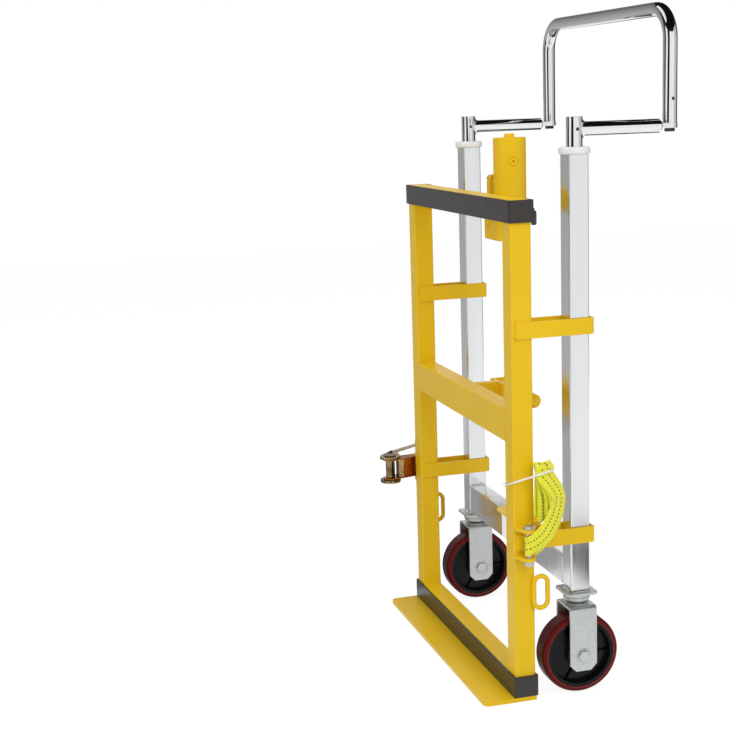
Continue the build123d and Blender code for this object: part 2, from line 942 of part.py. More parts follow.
with BuildPart() as clamp_block:
    slab((-clamp_half, clamp_half), (jack_y - clamp_half, jack_y + clamp_half), (clamp_z, clamp_step))
    slab((-clamp_wide_half, clamp_wide_half), (jack_y - clamp_half, wide_front), (clamp_step, clamp_top))
    with BuildSketch(sideways(-ear_half, jack_y, ear_z)):
        with Locations((-ear_reach, 0), (-cylinder_radius, 0)):
            Circle(ear_radius)
        make_hull()
    extrude(amount=2 * ear_half)
    slab((-ear_slot / 2, ear_slot / 2), (ear_y - ear_radius, jack_y), (clamp_z, clamp_top), Mode.SUBTRACT)
    round_bar(sideways(-ear_half, ear_y, ear_z), ear_bolt_radius + press_gap, 2 * ear_half, Mode.SUBTRACT)
    round_bar(
        sideways(-clamp_wide_half, bracket_bolt_y, bracket_bolt_z),
        bracket_bolt_radius + press_gap,
        2 * clamp_wide_half,
        Mode.SUBTRACT,
    )
    round_bar(upward(0, jack_y, clamp_z), cylinder_radius + press_gap, clamp_top - clamp_z, Mode.SUBTRACT)
save(clamp_block, "clamp_block")

with BuildPart() as jack_bracket:
    bracket_zs = (mid_rail_level + bracket_lift, mid_rail_top)
    yoke_front = wide_front + bracket_plate
    slab((-bracket_web / 2, bracket_web / 2), (yoke_front, frame_back), bracket_zs)
    slab((-cheek_outer, cheek_outer), (wide_front, yoke_front), bracket_zs)
    for sign in (-1, 1):
        cheek_xs = (sign * clamp_wide_half, sign * cheek_outer)
        slab(cheek_xs, (wide_front - bracket_lap, wide_front), bracket_zs)
    round_bar(
        sideways(-cheek_outer, bracket_bolt_y, bracket_bolt_z),
        bracket_bolt_radius + press_gap,
        2 * cheek_outer,
        Mode.SUBTRACT,
    )
save(jack_bracket, "jack_bracket")

with BuildPart() as bracket_bolts:
    for half_span, y, z, radius in (
        (cheek_outer, bracket_bolt_y, bracket_bolt_z, bracket_bolt_radius),
        (ear_half, ear_y, ear_z, ear_bolt_radius),
    ):
        hex_bar(sideways(half_span, y, z), bracket_bolt_across, bracket_bolt_head)
        round_bar(sideways(half_span, y, z, -1), radius, 2 * half_span + bracket_bolt_head)
        hex_nut(sideways(-half_span, y, z, -1), bracket_bolt_across, radius + press_gap, bracket_bolt_head)
save(bracket_bolts, "bracket_bolts")

# Pump block, with the lug that carries the lever
valve_z = block_top - valve_drop
block_plug_y = reservoir_y
block_plug_z = block_z + block_height / 2
bleed_z = block_z + bleed_lift

with BuildPart() as pump_block:
    slab((-block_left, block_right), (block_rear, block_front), (block_z, block_top))
    upright_edges = pump_block.edges().filter_by(Axis.Z).group_by(Axis.Y)
    fillet(upright_edges[0], block_corner)
    fillet(upright_edges[-1], block_front_corner)
    fillet(pump_block.faces().sort_by(Axis.Z)[0].edges(), block_foot)
    with BuildSketch(sideways(lever_x - lug_half, fulcrum_y, fulcrum_z)):
        Circle(lug_radius)
        with Locations((0, (block_top - fulcrum_z) / 2)):
            Rectangle(2 * lug_radius, fulcrum_z - block_top)
    extrude(amount=2 * lug_half)
    round_bar(
        sideways(lever_x - lug_half, fulcrum_y, fulcrum_z),
        fulcrum_radius + press_gap,
        2 * lug_half,
        Mode.SUBTRACT,
    )
    round_bar(
        downward(lever_x, plunger_y, block_top),
        plunger_radius + running_fit,
        plunger_depth + pin_play,
        Mode.SUBTRACT,
    )
    round_bar(
        backward(valve_x, block_rear + valve_stem_depth, valve_z),
        valve_stem_radius + running_fit,
        valve_stem_depth,
        Mode.SUBTRACT,
    )
    round_bar(
        sideways(block_right, block_plug_y, block_plug_z, -1),
        block_plug_radius + press_gap,
        block_plug_depth,
        Mode.SUBTRACT,
    )
    round_bar(backward(bleed_x, block_front, bleed_z), bleed_shank + press_gap, bleed_depth, Mode.SUBTRACT)
save(pump_block, "pump_block")

# Oil reservoir on the block
plug_angle = math.radians(180 - plug_turn)
plug_out = Vector(math.cos(plug_angle), math.sin(plug_angle), 0)
plug_floor = Vector(0, reservoir_y, reservoir_top - plug_drop) + plug_out * (reservoir_radius - plug_recess)
plug_outward = Plane(plug_floor, x_dir=(0, 0, 1), z_dir=plug_out)
plug_inward = Plane(plug_floor, x_dir=(0, 0, 1), z_dir=-plug_out)
plug_height = plug_recess + plug_rise

with BuildPart() as reservoir:
    round_bar(upward(0, reservoir_y, block_top), reservoir_radius, reservoir_height)
    fillet(reservoir.edges().filter_by(GeomType.CIRCLE).sort_by(Axis.Z)[-1], reservoir_round)
    round_bar(
        upward(0, reservoir_y, block_top + reservoir_wall),
        reservoir_radius - reservoir_wall,
        reservoir_height - 2 * reservoir_wall,
        Mode.SUBTRACT,
    )
    round_bar(upward(0, reservoir_y, block_top), port_radius, reservoir_wall, Mode.SUBTRACT)
    round_bar(
        downward(0, reservoir_y, reservoir_top),
        filler_radius + press_gap,
        reservoir_wall,
        Mode.SUBTRACT,
    )
    round_bar(plug_outward, plug_recess_radius, reservoir_wall, Mode.SUBTRACT)
    round_bar(plug_inward, plug_stem + press_gap, reservoir_wall, Mode.SUBTRACT)
save(reservoir, "reservoir")

with BuildPart() as hydraulic_plugs:
    round_bar(upward(0, reservoir_y, reservoir_top), filler_cap_radius, filler_cap_height)
    chamfer(hydraulic_plugs.edges().group_by(Axis.Z)[-1], filler_cap_chamfer)
    round_bar(downward(0, reservoir_y, reservoir_top), filler_radius, 2 * reservoir_wall)
    hex_bar(sideways(block_right, block_plug_y, block_plug_z), block_plug_across, block_plug_rise)
    round_bar(sideways(block_right, block_plug_y, block_plug_z, -1), block_plug_radius, block_plug_depth)
    round_bar(plug_outward, plug_radius, plug_height)
    round_bar(plug_inward, plug_stem, reservoir_wall)
    socket_bottom = plug_outward.offset(plug_height - plug_socket_depth)
    round_bar(socket_bottom, plug_socket, plug_socket_depth, Mode.SUBTRACT)
    round_bar(backward(bleed_x, block_front + bleed_rise, bleed_z), bleed_radius, bleed_rise)
    round_bar(backward(bleed_x, block_front, bleed_z), bleed_shank, bleed_depth)
save(hydraulic_plugs, "hydraulic_plugs")

# Plunger, its sleeve, and the lever that works it
with BuildPart() as plunger_sleeve:
    hex_bar(upward(lever_x, plunger_y, block_top), sleeve_hex, sleeve_hex_height)
    round_bar(upward(lever_x, plunger_y, block_top), sleeve_radius, sleeve_rise)
    round_bar(
        upward(lever_x, plunger_y, block_top),
        plunger_radius + running_fit,
        sleeve_rise,
        Mode.SUBTRACT,
    )
save(plunger_sleeve, "plunger_sleeve")

with BuildPart() as pump_plunger:
    head_bottom = crank_pin_z - crank_pin_radius - pin_play - plunger_head_over
    head_top = crank_pin_z + crank_pin_radius + pin_play + plunger_head_over
    round_bar(
        upward(lever_x, plunger_y, block_top - plunger_depth),
        plunger_radius,
        head_bottom - block_top + plunger_depth,
    )
    slab(
        (lever_x - plunger_head_half, lever_x + plunger_head_half),
        (plunger_y - plunger_head_depth / 2, plunger_y + plunger_head_depth / 2),
        (head_bottom, head_top),
    )
    slot_shift = crank_length * (1 - math.cos(math.radians(crank_angle)))
    with BuildSketch(sideways(lever_x - plunger_head_half, plunger_y - slot_shift / 2, crank_pin_z)):
        SlotCenterToCenter(slot_shift + pin_play, 2 * (crank_pin_radius + pin_play))
    extrude(amount=2 * plunger_head_half, mode=Mode.SUBTRACT)
save(pump_plunger, "pump_plunger")

lever_inner = lever_x - lever_width / 2
lever_outer = lever_x + lever_width / 2
lever_bottom = crank_pin_z - lever_drop
lever_top = fulcrum_z + lever_apex
ear_front = fulcrum_y + lever_ear_reach
ear_top = fulcrum_z + lever_ear_reach
ear_bottom = crank_pin_z - lever_ear_drop

with BuildPart() as pump_lever:
    for cheek_x in (lever_inner, lever_outer - lever_sheet):
        with BuildSketch(sideways(cheek_x, 0, 0)):
            with BuildLine():
                Polyline(
                    (lever_back, lever_bottom),
                    (lever_back, fulcrum_z + lever_shoulder / 2),
                    (plunger_y - lever_shoulder, lever_top),
                    (ear_front - lever_ear_round, ear_top),
                    (ear_front, ear_top - lever_ear_round),
                    (ear_front, ear_bottom),
                    (plunger_y - lever_shoulder / 2, ear_bottom),
                    (lever_front, block_top + lever_shoulder),
                    (lever_front, lever_bottom),
                    (lever_back, lever_bottom),
                )
            make_face()
            with Locations((ear_front - lever_ear_round, ear_top - lever_ear_round)):
                Circle(lever_ear_round)
            with Locations((fulcrum_y, fulcrum_z)):
                Circle(fulcrum_radius + running_fit, mode=Mode.SUBTRACT)
        extrude(amount=lever_sheet)
    slab(
        (lever_inner, lever_outer),
        (lever_back, lever_back + lever_sheet),
        (lever_bottom, fulcrum_z + lever_shoulder / 2),
    )
    round_bar(sideways(lever_inner, plunger_y, crank_pin_z), crank_pin_radius, lever_width)
save(pump_lever, "pump_lever")

with BuildPart() as fulcrum_pin:
    round_bar(sideways(lever_inner, fulcrum_y, fulcrum_z), fulcrum_radius, lever_width + fulcrum_head)
    round_bar(
        sideways(lever_outer + running_fit, fulcrum_y, fulcrum_z),
        fulcrum_radius + fulcrum_head,
        fulcrum_head,
    )
save(fulcrum_pin, "fulcrum_pin")

with BuildPart() as release_valve:
    round_bar(
        backward(valve_x, block_rear + valve_stem_depth, valve_z),
        valve_stem_radius,
        valve_stem_depth + valve_stem_length,
    )
    with BuildSketch(backward(valve_x, block_rear - valve_stem_length, valve_z)):
        SlotOverall(valve_knob_length, valve_knob_width, rotation=90)
    extrude(amount=valve_knob_depth)
save(release_valve, "release_valve")

# Push handle: two arms that drop into the bushings, and a bow bolted across them
for side, sign in SIDES:
    arm_x = sign * half_pitch
    flat_y = leg_y + flat_half_width + flat_bend
    with BuildPart() as handle_arm:
        round_bar(upward(arm_x, column_y, bushing_top + seat_gap), stub_head_radius, stub_rise - seat_gap)
        round_bar(backward(arm_x, column_y, arm_z), arm_radius, column_y - flat_y)
        plain_edges = (GeomType.CIRCLE, GeomType.LINE)
        saddle = handle_arm.edges().filter_by(lambda edge: edge.geom_type not in plain_edges)
        fillet(saddle, stub_saddle)
        round_bar(upward(arm_x, column_y, stub_seat), stub_radius, socket_depth + seat_gap)
        chamfer(handle_arm.edges().filter_by(GeomType.CIRCLE).sort_by(Axis.Y)[0], flat_bend)
        with BuildSketch(upward(arm_x, leg_y, arm_z - flat_thickness / 2)):
            Circle(flat_half_width)
            Rectangle(2 * flat_half_width, flat_y + arm_cap - leg_y, align=(Align.CENTER, Align.MIN))
        extrude(amount=flat_thickness)
        round_bar(
            upward(arm_x, column_y, stub_seat),
            stub_radius - handle_wall,
            stub_top - stub_seat - stub_cap,
            Mode.SUBTRACT,
        )
        round_bar(
            backward(arm_x, column_y, arm_z),
            arm_radius - handle_wall,
            column_y - flat_y - 2 * arm_cap,
            Mode.SUBTRACT,
        )
        round_bar(
            sideways(arm_x - stub_head_radius, column_y, arm_z),
            vent_radius,
            2 * stub_head_radius,
            Mode.SUBTRACT,
        )
        round_bar(
            upward(arm_x, leg_y, arm_z - flat_thickness / 2),
            handle_bolt_radius + press_gap,
            flat_thickness,
            Mode.SUBTRACT,
        )
    save(handle_arm, f"handle_arm_{side}")

with BuildPart() as handle_bow:
    bow_z = leg_z + bow_rise
    with BuildLine() as bow_path:
        FilletPolyline(
            (-half_pitch, leg_y, leg_z),
            (-half_pitch, leg_y, bow_z),
            (half_pitch, leg_y, bow_z),
            (half_pitch, leg_y, leg_z),
            radius=bow_bend,
        )
    with BuildSketch(upward(-half_pitch, leg_y, leg_z)):
        Circle(bow_radius)
        Circle(bow_radius - handle_wall, mode=Mode.SUBTRACT)
    sweep(path=bow_path.wire())
    for side, sign in SIDES:
        leg_x = sign * half_pitch
        round_bar(upward(leg_x, leg_y, leg_z), bow_radius - handle_wall, bow_plug)
        round_bar(
            upward(leg_x, leg_y, leg_z),
            handle_bolt_radius + press_gap,
            handle_bolt_depth,
            Mode.SUBTRACT,
        )
        round_bar(
            sideways(leg_x, leg_y, leg_z + leg_vent_rise, sign),
            vent_radius,
            bow_radius,
            Mode.SUBTRACT,
        )
save(handle_bow, "handle_bow")

with BuildPart() as handle_bolts:
    for side, sign in SIDES:
        bolt_under = arm_z - flat_thickness / 2
        hex_bar(downward(sign * half_pitch, leg_y, bolt_under), handle_bolt_across, handle_bolt_head)
        round_bar(
            upward(sign * half_pitch, leg_y, bolt_under),
            handle_bolt_radius,
            flat_thickness + handle_bolt_depth,
        )
save(handle_bolts, "handle_bolts")

# Ratchet frame, which swings on the right strap bolt and rests turned in
ratchet_turns = ((Axis((strap_x, upright_y, strap_z), (0, 0, 1)), ratchet_turn),)
with BuildPart() as ratchet_frame:
    for low in (strap_z - ratchet_half_gap - ratchet_sheet, strap_z + ratchet_half_gap):
        with BuildSketch(upward(strap_x, upright_y, low)):
            Circle(ratchet_bolt_end)
            with Locations((0, ratchet_length)):
                Circle(ratchet_spool_end)
            make_hull()
            Circle(strap_bolt_radius + running_fit, mode=Mode.SUBTRACT)
            with Locations((0, ratchet_length)):
                Circle(spool_radius + running_fit, mode=Mode.SUBTRACT)
        extrude(amount=ratchet_sheet)
    inside_low = strap_z - ratchet_half_gap
    round_bar(
        upward(strap_x, upright_y + ratchet_bar_at, inside_low),
        ratchet_bar_radius,
        2 * ratchet_half_gap,
    )
    plate_y = upright_y + ratchet_plate_from
    slot_y = plate_y + (ratchet_plate_length - ratchet_slot_length) / 2
    plate_xs = (strap_x - ratchet_plate_inset, strap_x - ratchet_plate_inset + ratchet_sheet)
    slab(plate_xs, (plate_y, plate_y + ratchet_plate_length), (inside_low, strap_z + ratchet_half_gap))
    slab(
        plate_xs,
        (slot_y, slot_y + ratchet_slot_length),
        (strap_z - ratchet_slot_half, strap_z + ratchet_slot_half),
        Mode.SUBTRACT,
    )
save(ratchet_frame, "ratchet_frame", ratchet_turns)

with BuildPart() as ratchet_lock:
    lock_y = upright_y + lock_at
    slab(
        (strap_x - lock_thickness / 2, strap_x + lock_thickness / 2),
        (lock_y - lock_width / 2, lock_y + lock_width / 2),
        (inside_low, strap_z + ratchet_half_gap),
    )
    chamfer(ratchet_lock.edges().filter_by(Axis.Z), lock_thickness / 4)
save(ratchet_lock, "ratchet_lock", ratchet_turns)

with BuildPart() as ratchet_spool:
    spool_half = handle_outer + gear_side_gap
    round_bar(upward(strap_x, spool_y, strap_z - spool_half), spool_radius, 2 * spool_half)
    slab(
        (strap_x - spool_radius, strap_x + spool_radius),
        (spool_y - spool_slot / 2, spool_y + spool_slot / 2),
        (strap_z - ratchet_half_gap, strap_z + ratchet_half_gap),
        Mode.SUBTRACT,
    )
    for gear_z in (strap_z - gear_outer, strap_z + gear_inner):
        with BuildSketch(upward(strap_x, spool_y, gear_z)):
            Circle(gear_radius)
            with PolarLocations(gear_radius, gear_teeth):
                Rectangle(2 * tooth_depth, tooth_width, rotation=tooth_lean, mode=Mode.SUBTRACT)
        extrude(amount=gear_thickness)
    round_bar(upward(strap_x, spool_y, strap_z + spool_half), spool_cap_radius, spool_cap)
    round_bar(downward(strap_x, spool_y, strap_z - spool_half), spool_cap_radius, spool_cap)
save(ratchet_spool, "ratchet_spool", ratchet_turns)

# Ratchet handle, which turns on the spool and rests part open outside the frame
handle_turns = ((Axis((strap_x, spool_y, strap_z), (0, 0, 1)), handle_turn), *ratchet_turns)
handle_span = math.hypot(handle_end_out, handle_end_back)
handle_along = (handle_end_out / handle_span, -handle_end_back / handle_span, 0)
pawl_near = pawl_offset - pawl_thickness / 2
pawl_start = math.sqrt((gear_radius + seat_gap) ** 2 - pawl_near**2)
pawl_half = handle_outer + pawl_overhang

with BuildPart() as ratchet_handle:
    for low in (strap_z - handle_outer, strap_z + handle_inner):
        with BuildSketch(upward(strap_x, spool_y, low)):
            Circle(handle_boss)
            with Locations((handle_neck_out, -handle_neck_back)):
                Circle(handle_neck_radius)
            make_hull()
            Circle(spool_radius + running_fit, mode=Mode.SUBTRACT)
        extrude(amount=handle_sheet)
        with BuildSketch(upward(strap_x, spool_y, low)):
            with Locations((handle_neck_out, -handle_neck_back), (handle_end_out, -handle_end_back)):
                Circle(handle_arm_radius)
            make_hull()
        extrude(amount=handle_sheet)
    bar_y = spool_y - handle_end_back
    slab(
        (strap_x + handle_end_out - handle_bar_width / 2, strap_x + handle_end_out + handle_bar_width / 2),
        (bar_y - handle_bar_length / 2, bar_y + handle_bar_length / 2),
        (strap_z - handle_outer, strap_z + handle_outer),
    )
    slot_from = pawl_start - seat_gap
    slot_to = pawl_start + pawl_length + pawl_travel + seat_gap
    with BuildSketch(Plane((strap_x, spool_y, strap_z - handle_outer), x_dir=handle_along, z_dir=(0, 0, 1))):
        with Locations(((slot_from + slot_to) / 2, pawl_offset)):
            Rectangle(slot_to - slot_from, pawl_thickness + 2 * seat_gap)
    extrude(amount=2 * handle_outer, mode=Mode.SUBTRACT)
save(ratchet_handle, "ratchet_handle", handle_turns)

with BuildPart() as ratchet_grip:
    with BuildSketch(upward(strap_x + handle_end_out, bar_y, strap_z - grip_height / 2)):
        RectangleRounded(grip_width, grip_depth, grip_corner)
    extrude(amount=grip_height)
    add(ratchet_handle.part, mode=Mode.SUBTRACT)
save(ratchet_grip, "ratchet_grip", handle_turns)

with BuildPart() as drive_pawl:
    with BuildSketch(Plane((strap_x, spool_y, strap_z - pawl_half), x_dir=handle_along, z_dir=(0, 0, 1))):
        with Locations((pawl_start + pawl_length / 2, pawl_offset)):
            Rectangle(pawl_length, pawl_thickness)
    extrude(amount=2 * pawl_half)
save(drive_pawl, "drive_pawl", handle_turns)

# Webbing: a loop sewn round the left strap bolt, then runs folded to and fro into a hank
web_loop_inner = strap_bolt_radius + web_loop_gap
web_loop_outer = web_loop_inner + web_thickness
web_outer_x = -strap_x - web_loop_outer + web_thickness / 2
web_eye_z = strap_z - web_eye_drop
web_bend_z = web_eye_z + web_bend_rise
low_centre_y = upright_y + math.sqrt(web_low_radius**2 - web_bend_rise**2)
web_back_y = low_centre_y - web_low_radius
high_centre_y = web_back_y + web_high_radius
web_rearmost = web_back_y - web_width


def fold_points(steps):
    """Points along the folded webbing, in the plane across it, from the bolt to the last fold."""
    points = []
    for run in range(web_runs):
        run_x = web_outer_x + run * web_pitch
        start = web_eye_z if run == 0 else web_fold_low
        levels = [start + (web_fold_high - start) * step / steps for step in range(steps + 1)]
        if run % 2:
            levels.reverse()
        points += [(run_x, level) for level in levels]
        if run < web_runs - 1:
            centre = web_fold_low if run % 2 else web_fold_high
            way = -1 if run % 2 else 1
            for step in range(1, steps):
                turn = math.pi * step / steps
                points.append(
                    (
                        run_x + web_pitch / 2 * (1 - math.cos(turn)),
                        centre + way * web_pitch / 2 * math.sin(turn),
                    )
                )
    return points


def least_gap(points, clear_length):
    """Least gap between stretches of the webbing that lie apart along its length."""
    lengths = [0.0]
    for before, after in zip(points, points[1:]):
        lengths.append(lengths[-1] + math.dist(before, after))
    least = math.inf
    for first, point in enumerate(points):
        for second in range(first + 1, len(points)):
            if lengths[second] - lengths[first] > clear_length:
                least = min(least, math.dist(point, points[second]))
    return least - web_thickness


with BuildPart() as webbing_hank:
    with BuildSketch(backward(0, upright_y, 0)):
        for run in range(web_runs):
            run_x = web_outer_x + run * web_pitch
            run_low = web_eye_z - web_width if run == 0 else web_fold_low
            with Locations((run_x, (run_low + web_fold_high) / 2)):
                Rectangle(web_thickness, web_fold_high - run_low)
        for fold in range(web_runs - 1):
            fold_x = web_outer_x + (fold + 0.5) * web_pitch
            fold_z = web_fold_low if fold % 2 else web_fold_high
            fold_way = -1 if fold % 2 else 1
            with BuildLine():
                outer_fold = CenterArc((fold_x, fold_z), (web_pitch + web_thickness) / 2, 0, fold_way * 180)
                inner_fold = CenterArc((fold_x, fold_z), (web_pitch - web_thickness) / 2, 0, fold_way * 180)
                Line(outer_fold @ 0, inner_fold @ 0)
                Line(outer_fold @ 1, inner_fold @ 1)
            make_face()
    extrude(amount=upright_y - web_rearmost)
    with BuildSketch(sideways(web_outer_x - web_thickness, 0, 0)):
        low_turn = math.degrees(math.atan2(-web_bend_rise, upright_y - low_centre_y))
        high_rise = web_fold_high + web_past_fold - web_bend_z
        high_turn = math.degrees(math.asin(high_rise / web_high_radius))
        with BuildLine():
            low_edge = CenterArc(
                (low_centre_y, web_bend_z), web_low_radius + web_width / 2, low_turn, -180 - low_turn
            )
            low_inner = CenterArc(
                (low_centre_y, web_bend_z), web_low_radius - web_width / 2, low_turn, -180 - low_turn
            )
            high_edge = CenterArc(
                (high_centre_y, web_bend_z), web_high_radius + web_width / 2, 180, -high_turn
            )
            high_inner = CenterArc(
                (high_centre_y, web_bend_z), web_high_radius - web_width / 2, 180, -high_turn
            )
            Line(low_edge @ 0, low_inner @ 0)
            Line(high_edge @ 1, high_inner @ 1)
        make_face()
    extrude(amount=web_runs * web_pitch + 2 * web_thickness, mode=Mode.INTERSECT)
    loop_plane = upward(-strap_x, upright_y, web_eye_z - web_width / 2)
    round_bar(loop_plane, web_loop_outer, web_width)
    round_bar(loop_plane, web_loop_inner, web_width, Mode.SUBTRACT)
save(webbing_hank, "webbing_hank")

hank_gap = least_gap(fold_points(web_check_steps), math.pi * web_pitch)
print(f"webbing_hank least gap to itself: {hank_gap:.2f} mm")

# Zip tie, pulled round the hank and the upright on a slope
tie_plane = Plane(
    (-upright_outer, frame_front, tie_front_level),
    x_dir=(1, 0, -tie_tilt),
    z_dir=(tie_tilt, tie_slope, 1),
)


def tie_level(x):
    """Height of the tie's middle over the upright's front, at a place across the cart."""
    return tie_front_level - tie_tilt * (x + upright_outer)


def on_tie(x, y):
    """Place in the tie's plane over a point of the floor."""
    spot = tie_plane.to_local_coords(Vector(x, y, tie_level(x) - tie_slope * (y - frame_front)))
    return spot.X, spot.Y


def tie_crossing(radius, x):
    """Where the tie meets an arc of the hank's upper bend, at a place across the cart."""
    ahead = frame_front - high_centre_y
    above = tie_level(x) - web_bend_z
    part = ahead - tie_slope * above
    grade = 1 + tie_slope**2
    back = (part + math.sqrt(part**2 - grade * (ahead**2 + above**2 - radius**2))) / grade
    return frame_front - back


hank_outer_x = web_outer_x - web_thickness / 2
hank_inner_x = web_outer_x + (web_runs - 1) * web_pitch + web_thickness / 2
tie_inset_x = tie_corner / math.hypot(1, tie_tilt) - tie_gap - tie_width / 2 * tie_tilt
tie_inset_y = tie_corner / math.hypot(1, tie_slope) - tie_gap - tie_width / 2 * tie_slope
hank_front = tie_crossing(web_high_radius - web_width / 2, hank_outer_x)
hank_back = tie_crossing(web_high_radius + web_width / 2, hank_outer_x) - tie_over
hank_back_inner = tie_crossing(web_high_radius + web_width / 2, hank_inner_x) - tie_over
tie_places = [
    on_tie(-upright_inner - tie_inset_x, frame_front - tie_inset_y),
    on_tie(-upright_outer + tie_inset_x, frame_front - tie_inset_y),
    on_tie(hank_outer_x + tie_inset_x, hank_front),
    on_tie(hank_outer_x + tie_inset_x, hank_back),
    on_tie(hank_inner_x - tie_inset_x, hank_back_inner),
    on_tie(-upright_inner - tie_inset_x, frame_back + tie_inset_y),
]
tie_side = Vector(*on_tie(-upright_inner + tie_gap, frame_front - tie_head_size))

with BuildPart() as zip_tie:
    with BuildSketch(tie_plane):
        with Locations(*tie_places):
            Circle(tie_corner + tie_thickness)
        make_hull()
    extrude(amount=tie_width / 2, both=True)
    with BuildSketch(tie_plane):
        with Locations((tie_side.X, tie_side.Y)):
            Rectangle(tie_thickness + tie_head_rise, tie_head_size, align=(Align.MIN, Align.CENTER))
    extrude(amount=tie_head_size / 2, both=True)
    with BuildSketch(tie_plane):
        with Locations((tie_side.X + tie_thickness + tie_head_rise, tie_side.Y)):
            Rectangle(tie_tail, tie_thickness, align=(Align.MIN, Align.CENTER))
    extrude(amount=tie_width / 2, both=True)
    with BuildSketch(tie_plane):
        with Locations(*tie_places):
            Circle(tie_corner)
        make_hull()
    extrude(amount=tie_head_size, both=True, mode=Mode.SUBTRACT)
save(zip_tie, "zip_tie")
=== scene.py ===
import json
import math

import bpy
from mathutils import Matrix, Vector


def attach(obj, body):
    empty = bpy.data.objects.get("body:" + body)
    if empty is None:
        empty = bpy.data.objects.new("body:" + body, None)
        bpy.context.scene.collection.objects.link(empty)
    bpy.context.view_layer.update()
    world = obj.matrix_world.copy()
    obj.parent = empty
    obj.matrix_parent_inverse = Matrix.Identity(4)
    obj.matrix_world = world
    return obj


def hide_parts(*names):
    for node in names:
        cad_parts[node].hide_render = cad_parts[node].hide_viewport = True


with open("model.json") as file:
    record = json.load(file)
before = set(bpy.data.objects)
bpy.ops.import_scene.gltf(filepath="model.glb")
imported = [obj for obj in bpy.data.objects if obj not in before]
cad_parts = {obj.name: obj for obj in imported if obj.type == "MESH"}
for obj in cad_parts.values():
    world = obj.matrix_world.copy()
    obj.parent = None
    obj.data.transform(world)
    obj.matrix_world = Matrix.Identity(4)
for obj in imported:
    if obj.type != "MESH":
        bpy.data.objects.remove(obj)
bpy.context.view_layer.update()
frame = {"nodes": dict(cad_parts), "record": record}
nodes = frame["nodes"]
MM = 0.001

# Camera at the photograph's place: metres, degrees, then millimetres
CAMERA_PLACE = (-2.6154, 0.9055, 1.1080)
CAMERA_AZIMUTH = 254.498
CAMERA_ELEVATION = 10.634
CAMERA_ROLL = -1.854
CAMERA_LENS = 69.16
CAMERA_SENSOR = 36.0


def add_camera():
    azimuth, elevation, roll = map(math.radians, (CAMERA_AZIMUTH, CAMERA_ELEVATION, CAMERA_ROLL))
    back = Vector((
        math.sin(azimuth) * math.cos(elevation),
        -math.cos(azimuth) * math.cos(elevation),
        math.sin(elevation),
    ))
    right = Vector((math.cos(azimuth), math.sin(azimuth), 0))
    up = back.cross(right)
    rolled_right = math.cos(roll) * right + math.sin(roll) * up
    rolled_up = math.cos(roll) * up - math.sin(roll) * right
    data = bpy.data.cameras.new("camera")
    data.lens = CAMERA_LENS
    data.sensor_width = CAMERA_SENSOR
    camera = bpy.data.objects.new("camera", data)
    turn = Matrix((rolled_right, rolled_up, back)).transposed().to_4x4()
    camera.matrix_world = Matrix.Translation(CAMERA_PLACE) @ turn
    bpy.context.scene.collection.objects.link(camera)
    bpy.context.scene.camera = camera


# Sockets of a mix node for colours, which share their names with others
MIX_FACTOR = 0
MIX_COLOURS = (6, 7)
MIX_RESULT = 2


class Finish:
    """A procedural material, built from noise in the part's own coordinates."""

    def __init__(self, name, **values):
        self.material = bpy.data.materials.new(name)
        self.material.use_nodes = True
        self.tree = self.material.node_tree
        self.shader = self.tree.nodes["Principled BSDF"]
        self.place = self.add("ShaderNodeTexCoord").outputs["Object"]
        for socket, value in values.items():
            self.feed(self.shader, socket.replace("_", " "), value)

    def add(self, kind, **settings):
        node = self.tree.nodes.new(kind)
        for setting, value in settings.items():
            setattr(node, setting, value)
        return node

    def feed(self, node, socket, value):
        """Set a socket to a value, or link another socket to it."""
        if isinstance(value, bpy.types.NodeSocket):
            self.tree.links.new(value, node.inputs[socket])
        else:
            node.inputs[socket].default_value = value

    def noise(self, scale, detail, stretch=(1, 1, 1)):
        mapping = self.add("ShaderNodeMapping")
        self.feed(mapping, "Vector", self.place)
        self.feed(mapping, "Scale", stretch)
        noise = self.add("ShaderNodeTexNoise")
        self.feed(noise, "Vector", mapping.outputs["Vector"])
        self.feed(noise, "Scale", scale)
        self.feed(noise, "Detail", detail)
        return noise.outputs["Fac"]

    def compute(self, operation, first, second=0.0):
        node = self.add("ShaderNodeMath", operation=operation)
        self.feed(node, 0, first)
        self.feed(node, 1, second)
        return node.outputs["Value"]

    def spread(self, value, low, high, start=0.3, stop=0.7):
        """Map start and stop, which hold most of a noise, to low and high."""
        node = self.add("ShaderNodeMapRange")
        for socket, number in (
            ("Value", value),
            ("From Min", start),
            ("From Max", stop),
            ("To Min", low),
            ("To Max", high),
        ):
            self.feed(node, socket, number)
        return node.outputs["Result"]

    def mix(self, factor, *colours):
        """Blend two colours, each a value or a socket."""
        node = self.add("ShaderNodeMix", data_type="RGBA")
        self.feed(node, MIX_FACTOR, factor)
        for socket, colour in zip(MIX_COLOURS, colours):
            self.feed(node, socket, colour if isinstance(colour, bpy.types.NodeSocket) else (*colour, 1))
        return node.outputs[MIX_RESULT]

    def tint(self, grain, colours, sharp=True):
        """Two colours in patches of noise."""
        patches = self.noise(*grain)
        return self.mix(self.spread(patches, 0, 1) if sharp else patches, *colours)

    def colour(self, value):
        self.feed(self.shader, "Base Color", value)

    def rough(self, grain, low, high):
        self.feed(self.shader, "Roughness", self.spread(self.noise(*grain), low, high))

    def bump(self, height, depth, strength):
        node = self.add("ShaderNodeBump")
        self.feed(node, "Height", height)
        self.feed(node, "Distance", depth)
        self.feed(node, "Strength", strength)
        self.feed(self.shader, "Normal", node.outputs["Normal"])


